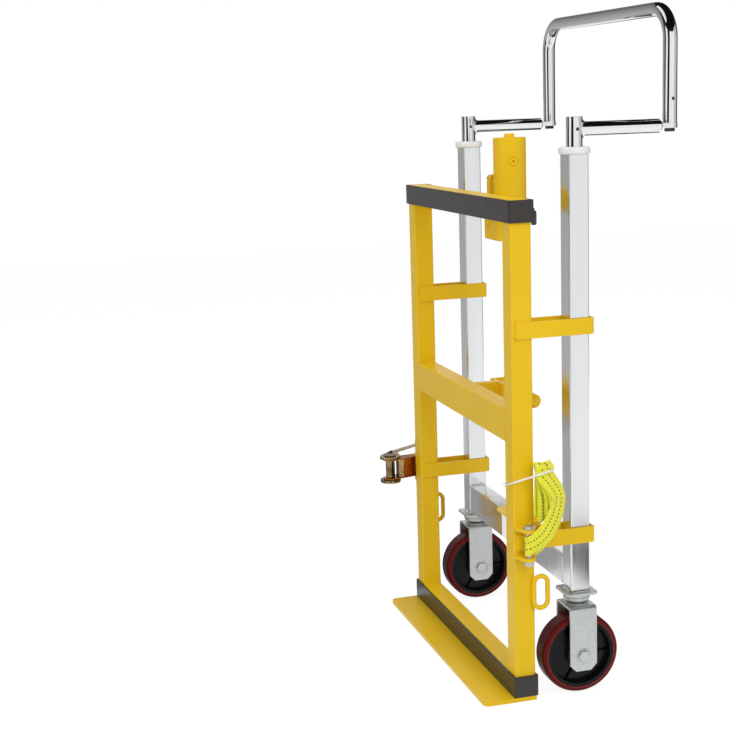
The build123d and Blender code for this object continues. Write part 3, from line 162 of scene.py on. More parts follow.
# Finishes of two colours. A grain is a noise's scale, its detail and any stretch, rough the range of the
# roughness, and relief a bump's depth in metres with its strength.
PLAIN_FINISHES = {
    "yellow_paint": dict(
        shader=dict(Specular_IOR_Level=0.28),
        colours=((0.85, 0.540, 0.005), (0.89, 0.580, 0.008)), colour_grain=(7, 4), sharp=True,
        rough=(0.30, 0.40), rough_grain=(45, 3),
        relief=(0.00012, 0.35), relief_grain=(420, 2),
    ),
    "chrome_tube": dict(
        shader=dict(Metallic=1.0),
        colours=((0.72, 0.735, 0.745), (0.79, 0.805, 0.815)), colour_grain=(60, 3, (1, 1, 0.03)), sharp=False,
        rough=(0.13, 0.26), rough_grain=(30, 3, (1, 1, 0.08)),
        relief=(0.0008, 0.25), relief_grain=(14, 2, (1, 1, 0.2)),
    ),
    "chrome_handle": dict(
        shader=dict(Metallic=1.0),
        colours=((0.76, 0.77, 0.79), (0.82, 0.83, 0.845)), colour_grain=(20, 2), sharp=False,
        rough=(0.03, 0.09), rough_grain=(80, 3),
        relief=(0.0004, 0.15), relief_grain=(18, 1),
    ),
    "zinc": dict(
        shader=dict(Metallic=0.78),
        colours=((0.52, 0.54, 0.545), (0.60, 0.62, 0.625)), colour_grain=(160, 4), sharp=True,
        rough=(0.34, 0.44), rough_grain=(70, 4),
        relief=(0.00005, 0.4), relief_grain=(900, 2),
    ),
    "steel": dict(
        shader=dict(Metallic=1.0),
        colours=((0.52, 0.53, 0.55), (0.66, 0.67, 0.69)), colour_grain=(90, 3), sharp=False,
        rough=(0.20, 0.34), rough_grain=(220, 3),
        relief=(0.00004, 0.3), relief_grain=(700, 2),
    ),
    "dark_steel": dict(
        shader=dict(Metallic=1.0),
        colours=((0.045, 0.045, 0.05), (0.12, 0.12, 0.125)), colour_grain=(120, 3), sharp=False,
        rough=(0.28, 0.46), rough_grain=(260, 3),
        relief=(0.00005, 0.3), relief_grain=(800, 2),
    ),
    "black_rubber": dict(
        shader=dict(Specular_IOR_Level=0.5),
        colours=((0.018, 0.014, 0.012), (0.030, 0.024, 0.021)), colour_grain=(40, 4), sharp=True,
        rough=(0.26, 0.36), rough_grain=(150, 3),
        relief=(0.00008, 0.25), relief_grain=(1100, 3),
    ),
    "wheel_core": dict(
        shader=dict(Specular_IOR_Level=0.16),
        colours=((0.003, 0.003, 0.0034), (0.009, 0.009, 0.0100)), colour_grain=(50, 3), sharp=False,
        rough=(0.18, 0.32), rough_grain=(60, 3),
        relief=(0.00006, 0.3), relief_grain=(500, 2),
    ),
    "nylon": dict(
        shader=dict(Subsurface_Weight=0.08, Subsurface_Scale=0.002),
        colours=((0.84, 0.84, 0.83), (0.88, 0.88, 0.88)), colour_grain=(60, 3), sharp=False,
        rough=(0.34, 0.50), rough_grain=(120, 3),
        relief=(0.00006, 0.3), relief_grain=(500, 2),
    ),
}


def plain_finish(name, shader, colours, colour_grain, sharp, rough, rough_grain, relief, relief_grain):
    finish = Finish(name, **shader)
    finish.colour(finish.tint(colour_grain, colours, sharp))
    finish.rough(rough_grain, *rough)
    finish.bump(finish.noise(*relief_grain), *relief)
    return finish.material


# Tints of yellow zinc plating: warm, deep and pale. The second is an orange-red copy, painted shade with a
# painted reflection of the yellow paint, and the third a darker copy, painted shade
PLATED_FINISHES = {
    "gold_zinc": ((0.50, 0.34, 0.12), (0.26, 0.13, 0.05), (0.44, 0.43, 0.24)),
    "gold_zinc_painted_shade_and_reflection": ((0.50, 0.14, 0.025), (0.36, 0.09, 0.02), (0.46, 0.22, 0.05)),
    "gold_zinc_painted_shade": ((0.20, 0.13, 0.05), (0.07, 0.04, 0.02), (0.36, 0.29, 0.15)),
}
PLATED_GRAIN = (70, 3)
PLATED_PALE_GRAIN = (38, 2)
PLATED_PALE_SPREAD = (0, 0.8, 0.4, 0.7)
PLATED_ROUGH = (0.20, 0.36)
PLATED_ROUGH_GRAIN = (120, 3)
PLATED_RELIEF = (0.00005, 0.3)
PLATED_RELIEF_GRAIN = (600, 2)


def plated_finish(name, warm, deep, pale):
    """Yellow zinc plating, whose tint wanders between three colours."""
    finish = Finish(name, Metallic=1.0)
    paleness = finish.spread(finish.noise(*PLATED_PALE_GRAIN), *PLATED_PALE_SPREAD)
    finish.colour(finish.mix(paleness, finish.tint(PLATED_GRAIN, (warm, deep)), pale))
    finish.rough(PLATED_ROUGH_GRAIN, *PLATED_ROUGH)
    finish.bump(finish.noise(*PLATED_RELIEF_GRAIN), *PLATED_RELIEF)
    return finish.material


# Middle of both wheels, and radii where the tread's colour changes, in metres: the painted highlight's line,
# then where it darkens towards the rim
AXLE_Y, AXLE_Z = -0.136, 0.0762
TREAD_HIGHLIGHT_RADII = (0.0660, 0.0680)
TREAD_DARK = (0.0725, 0.0755)
# The tread's side, its outer rim, darker towards the outside, and a painted highlight: the pale line by the
# core
TREAD_CAST = ((0.108, 0.005, 0.005), (0.150, 0.007, 0.008))
TREAD_CAST_GRAIN = (35, 4)
TREAD_OUTER_DARK = ((0.060, 0.004, 0.007), (0.090, 0.006, 0.009))
TREAD_OUTER_DARK_GRAIN = (60, 4)
TREAD_PAINTED_HIGHLIGHT = (0.46, 0.10, 0.09)
TREAD_HIGHLIGHT_STRENGTH = 0.65
TREAD_ROUGH = (0.30, 0.45)
TREAD_ROUGH_GRAIN = (90, 3)
TREAD_RELIEF = (0.0001, 0.3)
TREAD_RELIEF_GRAIN = (300, 2)


def tread_finish():
    finish = Finish("tread", Specular_IOR_Level=0.12)
    split = finish.add("ShaderNodeSeparateXYZ")
    finish.feed(split, "Vector", finish.place)
    back = finish.compute("SUBTRACT", split.outputs["Y"], AXLE_Y)
    up = finish.compute("SUBTRACT", split.outputs["Z"], AXLE_Z)
    squares = (finish.compute("MULTIPLY", back, back), finish.compute("MULTIPLY", up, up))
    radius = finish.compute("SQRT", finish.compute("ADD", *squares))
    cast = finish.tint(TREAD_CAST_GRAIN, TREAD_CAST)
    mottled = finish.tint(TREAD_OUTER_DARK_GRAIN, TREAD_OUTER_DARK)
    # Darker towards the outer rim: the side's colour inside one radius, a darker tone beyond it
    body = finish.mix(finish.spread(radius, 0, 1, *TREAD_DARK), cast, mottled)
    # Painted highlight: a pale line just outside the core, laid over the tread's colour
    finish.colour(finish.mix(finish.spread(radius, TREAD_HIGHLIGHT_STRENGTH, 0, *TREAD_HIGHLIGHT_RADII), body, TREAD_PAINTED_HIGHLIGHT))
    finish.rough(TREAD_ROUGH_GRAIN, *TREAD_ROUGH)
    finish.bump(finish.noise(*TREAD_RELIEF_GRAIN), *TREAD_RELIEF)
    return finish.material


# Marks in the webbing, in metres
DASH_OFFSET = 0.0060
DASH_HALF = 0.0011
DASH_PERIOD = 0.0066
DASH_LENGTH = 0.0034
RIB_PERIOD = 0.0012
PICK_PERIOD = 0.0010
# Its yarn, the worn patches and the dashes
YARN = ((0.86, 0.82, 0.020), (0.97, 0.94, 0.045))
YARN_WORN = (0.92, 0.95, 0.07)
YARN_WEAR = (0, 0.35)
YARN_WEAR_GRAIN = (60, 3)
YARN_DASH = (0.09, 0.095, 0.012)
YARN_ROUGH = (0.65, 0.85)
YARN_ROUGH_GRAIN = (500, 3)
WEAVE_RELIEF = (0.00018, 0.6)


def webbing_finish():
    finish = Finish("webbing", Sheen_Weight=0.35, Sheen_Roughness=0.5, Specular_IOR_Level=0.3)
    split = finish.add("ShaderNodeSeparateXYZ")
    finish.feed(split, "Vector", finish.add("ShaderNodeUVMap", uv_map="strap").outputs["UV"])
    across, along = split.outputs["X"], split.outputs["Y"]
    # Dashes: two broken dark lines, one each side of the middle
    offset = finish.compute("SUBTRACT", finish.compute("ABSOLUTE", across), DASH_OFFSET)
    line = finish.compute("LESS_THAN", finish.compute("ABSOLUTE", offset), DASH_HALF)
    dash = finish.compute("LESS_THAN", finish.compute("MODULO", along, DASH_PERIOD), DASH_LENGTH)
    mark = finish.compute("MULTIPLY", line, dash)
    # Weave: ribs along the strap, crossed by the filling yarn
    rib = finish.compute("SINE", finish.compute("MULTIPLY", across, 2 * math.pi / RIB_PERIOD))
    pick = finish.compute("SINE", finish.compute("MULTIPLY", along, 2 * math.pi / PICK_PERIOD))
    weave = finish.compute("MULTIPLY", rib, pick)
    yarn = finish.mix(finish.spread(weave, 0, 1, -1, 1), *YARN)
    mottled = finish.mix(finish.spread(finish.noise(*YARN_WEAR_GRAIN), *YARN_WEAR), yarn, YARN_WORN)
    finish.colour(finish.mix(mark, mottled, YARN_DASH))
    finish.rough(YARN_ROUGH_GRAIN, *YARN_ROUGH)
    finish.bump(weave, *WEAVE_RELIEF)
    return finish.material


FINISHES = {
    **{name: plain_finish(name, **recipe) for name, recipe in PLAIN_FINISHES.items()},
    **{name: plated_finish(name, *tints) for name, tints in PLATED_FINISHES.items()},
    "tread": tread_finish(),
    "webbing": webbing_finish(),
}

# Nodes that wear another finish than their slot's. The ratchet's frame and spool wear copies of the plating
# with painted shade, and the frame's copy also has a painted reflection
NODE_FINISH = {
    # Painted shade and painted reflection on the frame, painted shade on the spool
    "ratchet_frame": "gold_zinc_painted_shade_and_reflection",
    "ratchet_spool": "gold_zinc_painted_shade",
    "release_valve": "dark_steel",
}

# Rounding of each slot's edges, in millimetres
EDGE_ROUND = {
    "yellow_paint": 0.6,
    "chrome_tube": 0.4,
    "chrome_handle": 0.5,
    "zinc": 0.5,
    "steel": 0.3,
    "dark_steel": 0.3,
    "gold_zinc": 0.35,
    "black_rubber": 0.9,
    "tread": 0.4,
    "wheel_core": 0.9,
    "nylon": 0.6,
}
# Nodes whose edges stay as the solid has them
EDGE_KEPT = ("reservoir",)
# Least angle of an edge that is rounded, in degrees, and the gap over which its points are merged first
EDGE_ANGLE = 38
EDGE_SEGMENTS = 2
EDGE_WELD = 0.01
NORMAL_WEIGHT = 80


def dress_nodes():
    """Give each CAD node its finish, and round its edges."""
    for part in frame["record"]["subparts"]:
        name, slot = part["node"], part["material_slot"]
        node = nodes[name]
        node.data.materials.clear()
        node.data.materials.append(FINISHES[NODE_FINISH.get(name, slot)])
        if slot not in EDGE_ROUND or name in EDGE_KEPT:
            continue
        weld = node.modifiers.new("weld", "WELD")
        weld.merge_threshold = EDGE_WELD * MM
        bevel = node.modifiers.new("bevel", "BEVEL")
        bevel.width = EDGE_ROUND[slot] * MM
        bevel.segments = EDGE_SEGMENTS
        bevel.limit_method = "ANGLE"
        bevel.angle_limit = math.radians(EDGE_ANGLE)
        bevel.use_clamp_overlap = True
        normals = node.modifiers.new("normals", "WEIGHTED_NORMAL")
        normals.keep_sharp = False
        normals.weight = NORMAL_WEIGHT


def add_mesh(name, points, faces, finish, body, smooth=True):
    mesh = bpy.data.meshes.new(name)
    mesh.from_pydata([tuple(p * MM) for p in points], [], faces)
    mesh.polygons.foreach_set("use_smooth", [smooth] * len(mesh.polygons))
    mesh.materials.append(FINISHES[finish])
    mesh.update()
    piece = bpy.data.objects.new(name, mesh)
    bpy.context.scene.collection.objects.link(piece)
    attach(piece, body)
    return piece


def sweep(stations, section, closed=False):
    """Points and faces of a section carried along stations: each is a place and two directions."""
    count = len(section)
    points = [place + across * u + through * w for place, across, through in stations for u, w in section]
    faces = []
    for index in range(len(stations) if closed else len(stations) - 1):
        first, after = index * count, (index + 1) % len(stations) * count
        for k in range(count):
            beside = (k + 1) % count
            faces.append((first + k, first + beside, after + beside, after + k))
    if not closed:
        faces.append(tuple(range(count - 1, -1, -1)))
        faces.append(tuple(range(len(points) - count, len(points))))
    return points, faces


def join(shapes):
    """One list of points and faces from several."""
    points, faces = [], []
    for more_points, more_faces in shapes:
        faces += [tuple(len(points) + k for k in face) for face in more_faces]
        points += more_points
    return points, faces


def both_halves(half):
    """A section from half of its outline, with the other half turned about its middle."""
    return half + [(-u, -w) for u, w in half]


def circle(count):
    turns = [2 * math.pi * k / count for k in range(count)]
    return [(math.cos(turn), math.sin(turn)) for turn in turns]


# Webbing on the left strap bolt, in millimetres, with points on its flat as shares of its half width
WEB_WIDTH = 35.0
WEB_THICKNESS = 1.6
WEB_EDGE = 0.7
WEB_INNER = (-0.5, -0.25, 0.0, 0.25, 0.5)
BOLT = Vector((-318.0, -24.0, 307.0))
# Eye round the bolt, its turns in degrees, and the place where the tail comes into it
LOOP_RADIUS = 6.2
LOOP_CLIMB = 5.2
LOOP_TURNS = range(-56, 180, 14)
LOOP_ENTRY = Vector((-319.6, -34.6, 309.0))
LOOP_ENTRY_ACROSS = Vector((0, -0.5, -0.86))
# First run, from the eye up to the hank: place, and twist in degrees
BAND = (
    (-329.5, -34.8, 317.0, 0),
    (-332.6, -44.0, 325.5, 2),
    (-333.4, -52.4, 334.5, 4),
    (-332.4, -63.7, 352.0, 7),
    (-331.0, -71.0, 366.5, 12),
    (-330.5, -76.3, 384.0, 19),
)
BAND_STEPS = 5
# Sewn tail: the points of the first run that it lies under, and how far
TAIL = slice(16, 5, -2)
TAIL_GAP = 2.3
# The hank: a flat stack at the tie, whose runs fan out below it
TIE_LEVEL = 440.0
TIE_FIRST = (-329.0, -51.9)
TIE_PITCH = (3.2, -0.87)
TIE_TWIST = 10.0
TOP_SPREAD = 0.07
TOP_LEAN = 0.12
FAN_HEIGHT = 54.0
# Each run low in the fan: its place across and along the cart, and its twist
FAN = (
    (-331.0, -79.0, 24.0),
    (-327.5, -74.5, 30.0),
    (-324.9, -73.0, 30.0),
    (-321.5, -66.5, 36.0),
    (-318.9, -65.0, 36.0),
    (-315.0, -57.5, 26.0),
    (-312.4, -56.0, 26.0),
    (-308.5, -48.8, 34.0),
)
# Where the first run joins the hank, how far on a key guides it, and where each run ends
HANK_START = 398.0
HANK_LEAD = 8.0
FOLDS = (453.0, 384.0, 454.5, 364.0, 453.0, 354.0, 455.0, 359.0)
RUN_STEPS = 16
FOLD_STEPS = 8


def blend_keys(keys, steps):
    """Smooth places through keys of three lengths and a twist."""
    values = [Vector(key) for key in keys]
    values = [2 * values[0] - values[1]] + values + [2 * values[-1] - values[-2]]
    out = []
    for before, start, stop, after in zip(values, values[1:], values[2:], values[3:]):
        for step in range(steps):
            t = step / steps
            out.append(0.5 * (
                2 * start + (stop - before) * t + (2 * before - 5 * start + 4 * stop - after) * t**2
                + (3 * start - before - 3 * stop + after) * t**3
            ))
    return out + [values[-2]]


def hank_key(run, z):
    """Place and twist of a run of the hank at a height."""
    fan = math.sin(min(max((TIE_LEVEL - z) / FAN_HEIGHT, 0.0), 1.0) * math.pi / 2)
    rise = max(z - TIE_LEVEL, 0.0)
    x = TIE_FIRST[0] + TIE_PITCH[0] * run + TOP_SPREAD * rise * (run - (len(FOLDS) - 1) / 2)
    y = TIE_FIRST[1] + TIE_PITCH[1] * run + TOP_LEAN * rise
    fan_x, fan_y, fan_twist = FAN[run]
    return (x + (fan_x - x) * fan, y + (fan_y - y) * fan, z, TIE_TWIST + (fan_twist - TIE_TWIST) * fan)


def turned(twist, along):
    """Direction across the band, turned from the cart's side by its twist."""
    turn = math.radians(twist)
    flat = Vector((0, -along.z, along.y)).normalized()
    return math.cos(turn) * flat + Vector((math.sin(turn), 0, 0))


def first_run():
    """Points from the bolt up to the hank, each with the direction across the band."""
    leave = (BOLT.x - LOOP_RADIUS, BOLT.y, BOLT.z + LOOP_CLIMB / 2, 0)
    keys = (leave, *BAND, hank_key(0, HANK_START), hank_key(0, HANK_START + HANK_LEAD))
    band = blend_keys(keys, BAND_STEPS)[:-BAND_STEPS]
    run = []
    for index, key in enumerate(band):
        before, after = band[max(index - 1, 0)], band[min(index + 1, len(band) - 1)]
        run.append((key.xyz, turned(key.w, (after - before).xyz.normalized())))
    return run


def webbing_path():
    """Points along the webbing's middle, each with the direction across it."""
    climb = first_run()
    # Sewn tail under the first run, then the eye round the bolt
    inward = Vector((TAIL_GAP, 0, 0))
    path = [(place + inward, across) for place, across in climb[TAIL]]
    path.append((LOOP_ENTRY, LOOP_ENTRY_ACROSS))
    pitch = math.atan2(LOOP_CLIMB, math.pi * LOOP_RADIUS)
    for degrees in LOOP_TURNS:
        turn = math.radians(degrees)
        out = Vector((math.cos(turn), math.sin(turn), 0))
        level = Vector((-math.sin(turn), math.cos(turn), 0))
        rise = Vector((0, 0, LOOP_CLIMB * (degrees / 180 - 0.5)))
        across = math.sin(pitch) * level - math.cos(pitch) * Vector((0, 0, 1))
        path.append((BOLT + LOOP_RADIUS * out + rise, across))
    # First run up from the bolt, then the folded runs
    path += climb
    start = HANK_START
    for run, stop in enumerate(FOLDS):
        for step in range(1, RUN_STEPS + 1):
            key = hank_key(run, start + (stop - start) * step / RUN_STEPS)
            turn = math.radians(key[3])
            path.append((Vector(key[:3]), Vector((math.sin(turn), -math.cos(turn), 0))))
        start = stop
        if run == len(FOLDS) - 1:
            break
        # Half turn to the next run
        place, across = path[-1]
        half = (Vector(hank_key(run + 1, stop)[:3]) - place) / 2
        way = Vector((0, 0, half.length if run % 2 == 0 else -half.length))
        for step in range(1, FOLD_STEPS + 1):
            turn = math.pi * step / FOLD_STEPS
            path.append((place + half * (1 - math.cos(turn)) + way * math.sin(turn), across))
    return path


def add_webbing():
    path = webbing_path()
    # Section of the band: across it, and through its thickness
    half, thin = WEB_WIDTH / 2, WEB_THICKNESS / 2
    flat = (-half + WEB_EDGE, *(half * share for share in WEB_INNER), half - WEB_EDGE)
    section = both_halves([(-half, 0.0), *((u, thin) for u in flat)])
    stations, marks = [], []
    length = 0.0
    for index, (place, across) in enumerate(path):
        before, after = path[max(index - 1, 0)][0], path[min(index + 1, len(path) - 1)][0]
        along = (after - before).normalized()
        across = (across - along * across.dot(along)).normalized()
        length += (place - before).length
        stations.append((place, across, along.cross(across)))
        marks += [(u * MM, length * MM) for u, w in section]
    piece = add_mesh("webbing", *sweep(stations, section), "webbing", "load_frame")
    layer = piece.data.uv_layers.new(name="strap")
    for loop in piece.data.loops:
        layer.data[loop.index].uv = marks[loop.vertex_index]
    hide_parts("webbing_hank")


# Tie round the upright and the hank: middles of its corners, and the slope that it lies on
TIE_CORNERS = (
    (-256.3, -5.3),
    (-293.7, -5.3),
    (-331.2, -35.5),
    (-326.3, -68.6),
    (-304.5, -74.2),
    (-256.3, -42.7),
)
TIE_CORNER = 2.5
TIE_CORNER_STEPS = 4
TIE_WIDTH = 3.5
TIE_THICKNESS = 1.2
TIE_EDGE = 0.35
TIE_FRONT = Vector((-295.0, -4.0, 422.0))
TIE_TILT = 0.375
TIE_SLOPE = 0.2
# Head on the upright's inner side, as reaches and sizes of its rings, then the tail through it
TIE_HEAD_PLACE = (-253.8, -10.0)
TIE_HEAD_HALF = 3.0
TIE_HEAD_RINGS = ((0.0, 0.92), (0.4, 1.0), (4.6, 1.0), (5.0, 0.88))
TIE_TAIL_START = 4.5
TIE_TAIL = 26.0
TIE_TAIL_DROP = 7.0
TIE_TAIL_STEPS = 12
TIE_TAPER_START = 0.75
TIE_TAPER = 1.6


def on_tie(x, y):
    return Vector((x, y, TIE_FRONT.z - TIE_TILT * (x - TIE_FRONT.x) - TIE_SLOPE * (y - TIE_FRONT.y)))


def add_tie():
    up = Vector((TIE_TILT, TIE_SLOPE, 1)).normalized()
    half, thin, edge = TIE_WIDTH / 2, TIE_THICKNESS / 2, TIE_EDGE
    section = both_halves([
        (-half, thin - edge), (-half + edge, thin), (half - edge, thin), (half, thin - edge),
    ])
    # Loop: round each corner from one side's outward direction to the next's
    corners = [Vector(corner) for corner in TIE_CORNERS]
    stations = []
    for index, corner in enumerate(corners):
        sides = (corner - corners[index - 1], corners[(index + 1) % len(corners)] - corner)
        start, stop = (math.atan2(-side.x, side.y) for side in sides)
        stop += 2 * math.pi * (stop < start)
        for step in range(TIE_CORNER_STEPS + 1):
            turn = start + (stop - start) * step / TIE_CORNER_STEPS
            out = Vector((math.cos(turn), math.sin(turn)))
            spot = corner + out * (TIE_CORNER + thin)
            stations.append((on_tie(*spot), up, Vector((*out, 0))))
    shapes = [sweep(stations, section, closed=True)]
    base = on_tie(*TIE_HEAD_PLACE)
    side, top = Vector((0, 1, 0)), Vector((0, 0, 1))
    full, cut = TIE_HEAD_HALF, TIE_HEAD_HALF - edge
    outline = both_halves([(full, cut), (cut, full), (-cut, full), (-full, cut)])
    head = [(base + Vector((reach, 0, 0)), side * size, top * size) for reach, size in TIE_HEAD_RINGS]
    shapes.append(sweep(head, outline))
    tail = []
    for step in range(TIE_TAIL_STEPS + 1):
        t = step / TIE_TAIL_STEPS
        place = base + Vector((TIE_TAIL_START + TIE_TAIL * t, 0, -TIE_TAIL_DROP * t * t))
        taper = 1.0 - TIE_TAPER * max(t - TIE_TAPER_START, 0.0)
        bend = Vector((2 * TIE_TAIL_DROP * t / TIE_TAIL, 0, 1)).normalized()
        tail.append((place, side * taper, bend))
    shapes.append(sweep(tail, section))
    piece = add_mesh("tie", *join(shapes), "nylon", "load_frame", smooth=False)
    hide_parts("zip_tie")


# Weld beads, in millimetres: their ripples, and how their ends are drawn in
BEAD_RADIUS = 2.2
FINE_BEAD_RADIUS = 1.6
BEAD_STEP = 1.2
BEAD_LEAST_STEPS = 4
BEAD_RIPPLE = 4.4
BEAD_VALLEY = 0.82
BEAD_END = 0.35
BEAD_END_LENGTH = 2.5
ROUND = circle(8)


def bead(start, stop, radius):
    """A rippled weld along a line, drawn in at its ends."""
    length = (stop - start).length
    along = (stop - start) / length
    side = along.orthogonal().normalized()
    other = along.cross(side)
    steps = max(int(length / BEAD_STEP), BEAD_LEAST_STEPS)
    stations = []
    for step in range(steps + 1):
        run = length * step / steps
        ripple = abs(math.sin(math.pi * run / BEAD_RIPPLE))
        size = radius * (BEAD_VALLEY + (1 - BEAD_VALLEY) * ripple)
        size *= min(1.0, BEAD_END + min(run, length - run) / BEAD_END_LENGTH)
        stations.append((start + along * run, side * size, other * size))
    return sweep(stations, ROUND)


def level_welds(x, back, front, levels, radius=BEAD_RADIUS):
    """Lines of welds from the back to the front, one at each level."""
    return [((x, back, z), (x, front, z), radius) for z in levels]


# Sides of the uprights, and the guides on them: feet, then the weld at the front and those over and under
UPRIGHT_INNER, UPRIGHT_OUTER = 254.6, 295.4
GUIDE_LEVELS = (294.0, 685.0)
GUIDE_FRONT = -10.6
GUIDE_FRONT_RISE = (2.0, 28.0)
GUIDE_ENDS = (-42.0, -13.0)
GUIDE_ENDS_RISE = (30.4, -0.4)


def guide_welds():
    lines = []
    for foot in GUIDE_LEVELS:
        for x in (UPRIGHT_INNER, UPRIGHT_OUTER):
            low, high = ((x, GUIDE_FRONT, foot + rise) for rise in GUIDE_FRONT_RISE)
            lines.append((low, high, BEAD_RADIUS))
            lines += level_welds(x, *GUIDE_ENDS, [foot + rise for rise in GUIDE_ENDS_RISE])
    return lines


# Lines of welds on the cart's right half, which the left one mirrors
FRAME_WELDS = (
    # Rails to the uprights
    *level_welds(UPRIGHT_INNER, -42, -6, (550.4, 489.6, 891.6, 48.4)),
    # Guides, strap tabs and strap rings to the uprights
    *guide_welds(),
    *level_welds(UPRIGHT_OUTER, -40, -8, (339.4, 278.6)),
    *level_welds(296.2, -43.5, -36.5, (184.4, 174.8, 245.2, 235.6), FINE_BEAD_RADIUS),
    # Ram bracket to the middle rail
    ((34.4, -44.4, 503), (34.4, -44.4, 547), BEAD_RADIUS),
)
BASE_WELDS = (
    # Crossbeam to the columns, over and under it
    *level_welds(255.1, -152, -120, (263.7, 202.9)),
    # Its front and back, each with the caster plate's edge there
    ((255.2, -116.9, 206), (255.2, -116.9, 260), FINE_BEAD_RADIUS),
    ((259, -116.2, 198.7), (291, -116.2, 198.7), BEAD_RADIUS),
    ((255.2, -155.1, 206), (255.2, -155.1, 260), FINE_BEAD_RADIUS),
    ((259, -155.8, 198.7), (291, -155.8, 198.7), BEAD_RADIUS),
    # Caster plates to the columns' outer sides
    *level_welds(294.9, -152, -120, (198.7,)),
)


def add_welds(name, lines, finish, body):
    beads = []
    for s in (-1, 1):
        for *ends, radius in lines:
            start, stop = (Vector((s * x, y, z)) for x, y, z in ends)
            beads.append(bead(start, stop, radius))
    add_mesh(name, *join(beads), finish, body)


# Pressed rings round the axle on both sides of each fork, in millimetres
RING_RADIUS = 13.5
RING_HALF_WIDTH = 1.5
RING_HEIGHT = 0.5
RING_STEPS = 48
FORK_SIDES = {"caster_left": (-307.5, -242.5), "caster_right": (242.5, 307.5)}


def add_fork_rings():
    height = Vector((RING_HEIGHT, 0, 0))
    for body, sides in FORK_SIDES.items():
        rings = []
        for x in sides:
            axle = Vector((x, AXLE_Y / MM, AXLE_Z / MM))
            ways = [Vector((0, y, z)) for y, z in circle(RING_STEPS)]
            stations = [(axle + out * RING_RADIUS, out * RING_HALF_WIDTH, height) for out in ways]
            rings.append(sweep(stations, ROUND, closed=True))
        add_mesh(f"{body}_rings", *join(rings), "zinc", body)


# Leaf of the ratchet's lock, from the bar to the plate: along the frame and to its side, in millimetres
RATCHET_BOLT = Vector((318.0, -24.0, 309.0))
RATCHET_TURN = 12.0
LEAF = ((57.4, -0.6), (54.5, -2.4), (51.0, -4.4), (48.0, -5.6), (45.5, -6.0))
LEAF_TOPS = (14.0, 17.5, 18.6, 18.8, 18.8)
LEAF_FOOT = -18.8
LEAF_THICKNESS = 1.6
LEAF_SPLITS = (0.0, 0.04, 0.96, 1.0)
# Slider in the plate's slot: along the frame, to its side and half its height
SLIDER_ALONG = (32.2, 34.8)
SLIDER_SIDE = (-9.4, -6.0)
SLIDER_HALF = 5.8


def add_lock_leaf():
    turn = Matrix.Rotation(math.radians(RATCHET_TURN), 3, "Z")
    places = [turn @ Vector((side, along, 0)) for along, side in LEAF]
    section = [(u, -0.5) for u in LEAF_SPLITS] + [(u, 0.5) for u in reversed(LEAF_SPLITS)]
    stations = []
    for index, (place, top) in enumerate(zip(places, LEAF_TOPS)):
        along = places[min(index + 1, len(places) - 1)] - places[max(index - 1, 0)]
        out = Vector((-along.y, along.x, 0)).normalized() * LEAF_THICKNESS
        foot = RATCHET_BOLT + place + Vector((0, 0, LEAF_FOOT))
        stations.append((foot, Vector((0, 0, top - LEAF_FOOT)), out))
    add_mesh("lock_leaf", *sweep(stations, section), "gold_zinc", "ratchet", smooth=False)
    (out, into), (near, far) = SLIDER_SIDE, SLIDER_ALONG
    outline = [(out, near), (out, far), (into, far), (into, near)]
    across, through = turn @ Vector((1, 0, 0)), turn @ Vector((0, 1, 0))
    levels = [(RATCHET_BOLT + Vector((0, 0, s * SLIDER_HALF)), across, through) for s in (-1, 1)]
    add_mesh("lock_slider", *sweep(levels, outline), "dark_steel", "ratchet", smooth=False)


# Spring buttons inside the handle's legs, in dark steel that is also painted shade of the holes: reaches and
# radii of their rings, in millimetres
SHADED_BUTTON_PLACE = (284.9, -322.5, 1097.8)
SHADED_BUTTON_RINGS = ((-1.5, 3.9), (0.0, 4.0), (0.35, 3.4), (0.6, 2.2), (0.7, 0.8))
SHADED_BUTTON_SIDES = 24


def add_shaded_buttons():
    x, y, z = SHADED_BUTTON_PLACE
    shapes = []
    for s in (-1, 1):
        up, side = Vector((0, 0, 1)), Vector((0, s, 0))
        rings = [
            (Vector((s * (x + reach), y, z)), side * radius, up * radius)
            for reach, radius in SHADED_BUTTON_RINGS
        ]
        shapes.append(sweep(rings, circle(SHADED_BUTTON_SIDES)))
    # Dark steel domes: the buttons, and painted shade inside the legs' holes
    add_mesh("leg_buttons_with_hole_shade", *join(shapes), "dark_steel", "push_handle")


add_camera()
dress_nodes()
add_webbing()
add_tie()
add_welds("frame_welds", FRAME_WELDS, "yellow_paint", "load_frame")
add_welds("base_welds", BASE_WELDS, "chrome_tube", "wheel_frame")
add_fork_rings()
add_lock_leaf()
add_shaded_buttons()

# Floor and world: shades as light falls on them, and as the camera and reflections see them
FLOOR_HALF = 8.0
FLOOR_LEVEL = -0.0002
FLOOR_PLAIN = 0.8
FLOOR_SHADED = 0.18
FLOOR_GLOW = 0.90
WORLD_LIGHT = 0.5
WORLD_SEEN = 1.0


def seen_ray(tree):
    """Whether a ray comes from the camera, a reflection or a clear surface."""
    path = tree.nodes.new("ShaderNodeLightPath")
    value = path.outputs["Is Camera Ray"]
    for kind in ("Is Glossy Ray", "Is Transmission Ray"):
        either = tree.nodes.new("ShaderNodeMath")
        either.operation = "MAXIMUM"
        tree.links.new(value, either.inputs[0])
        tree.links.new(path.outputs[kind], either.inputs[1])
        value = either.outputs["Value"]
    return value


def add_stage(name, points, faces, material):
    mesh = bpy.data.meshes.new(name)
    mesh.from_pydata(points, [], faces)
    mesh.materials.append(material)
    thing = bpy.data.objects.new(name, mesh)
    bpy.context.scene.collection.objects.link(thing)
    return thing


def bare_material(name):
    material = bpy.data.materials.new(name)
    material.use_nodes = True
    tree = material.node_tree
    tree.nodes.remove(tree.nodes["Principled BSDF"])
    return material, tree


def matt(tree, grey):
    shader = tree.nodes.new("ShaderNodeBsdfDiffuse")
    shader.inputs["Color"].default_value = (grey, grey, grey, 1)
    return shader.outputs["BSDF"]


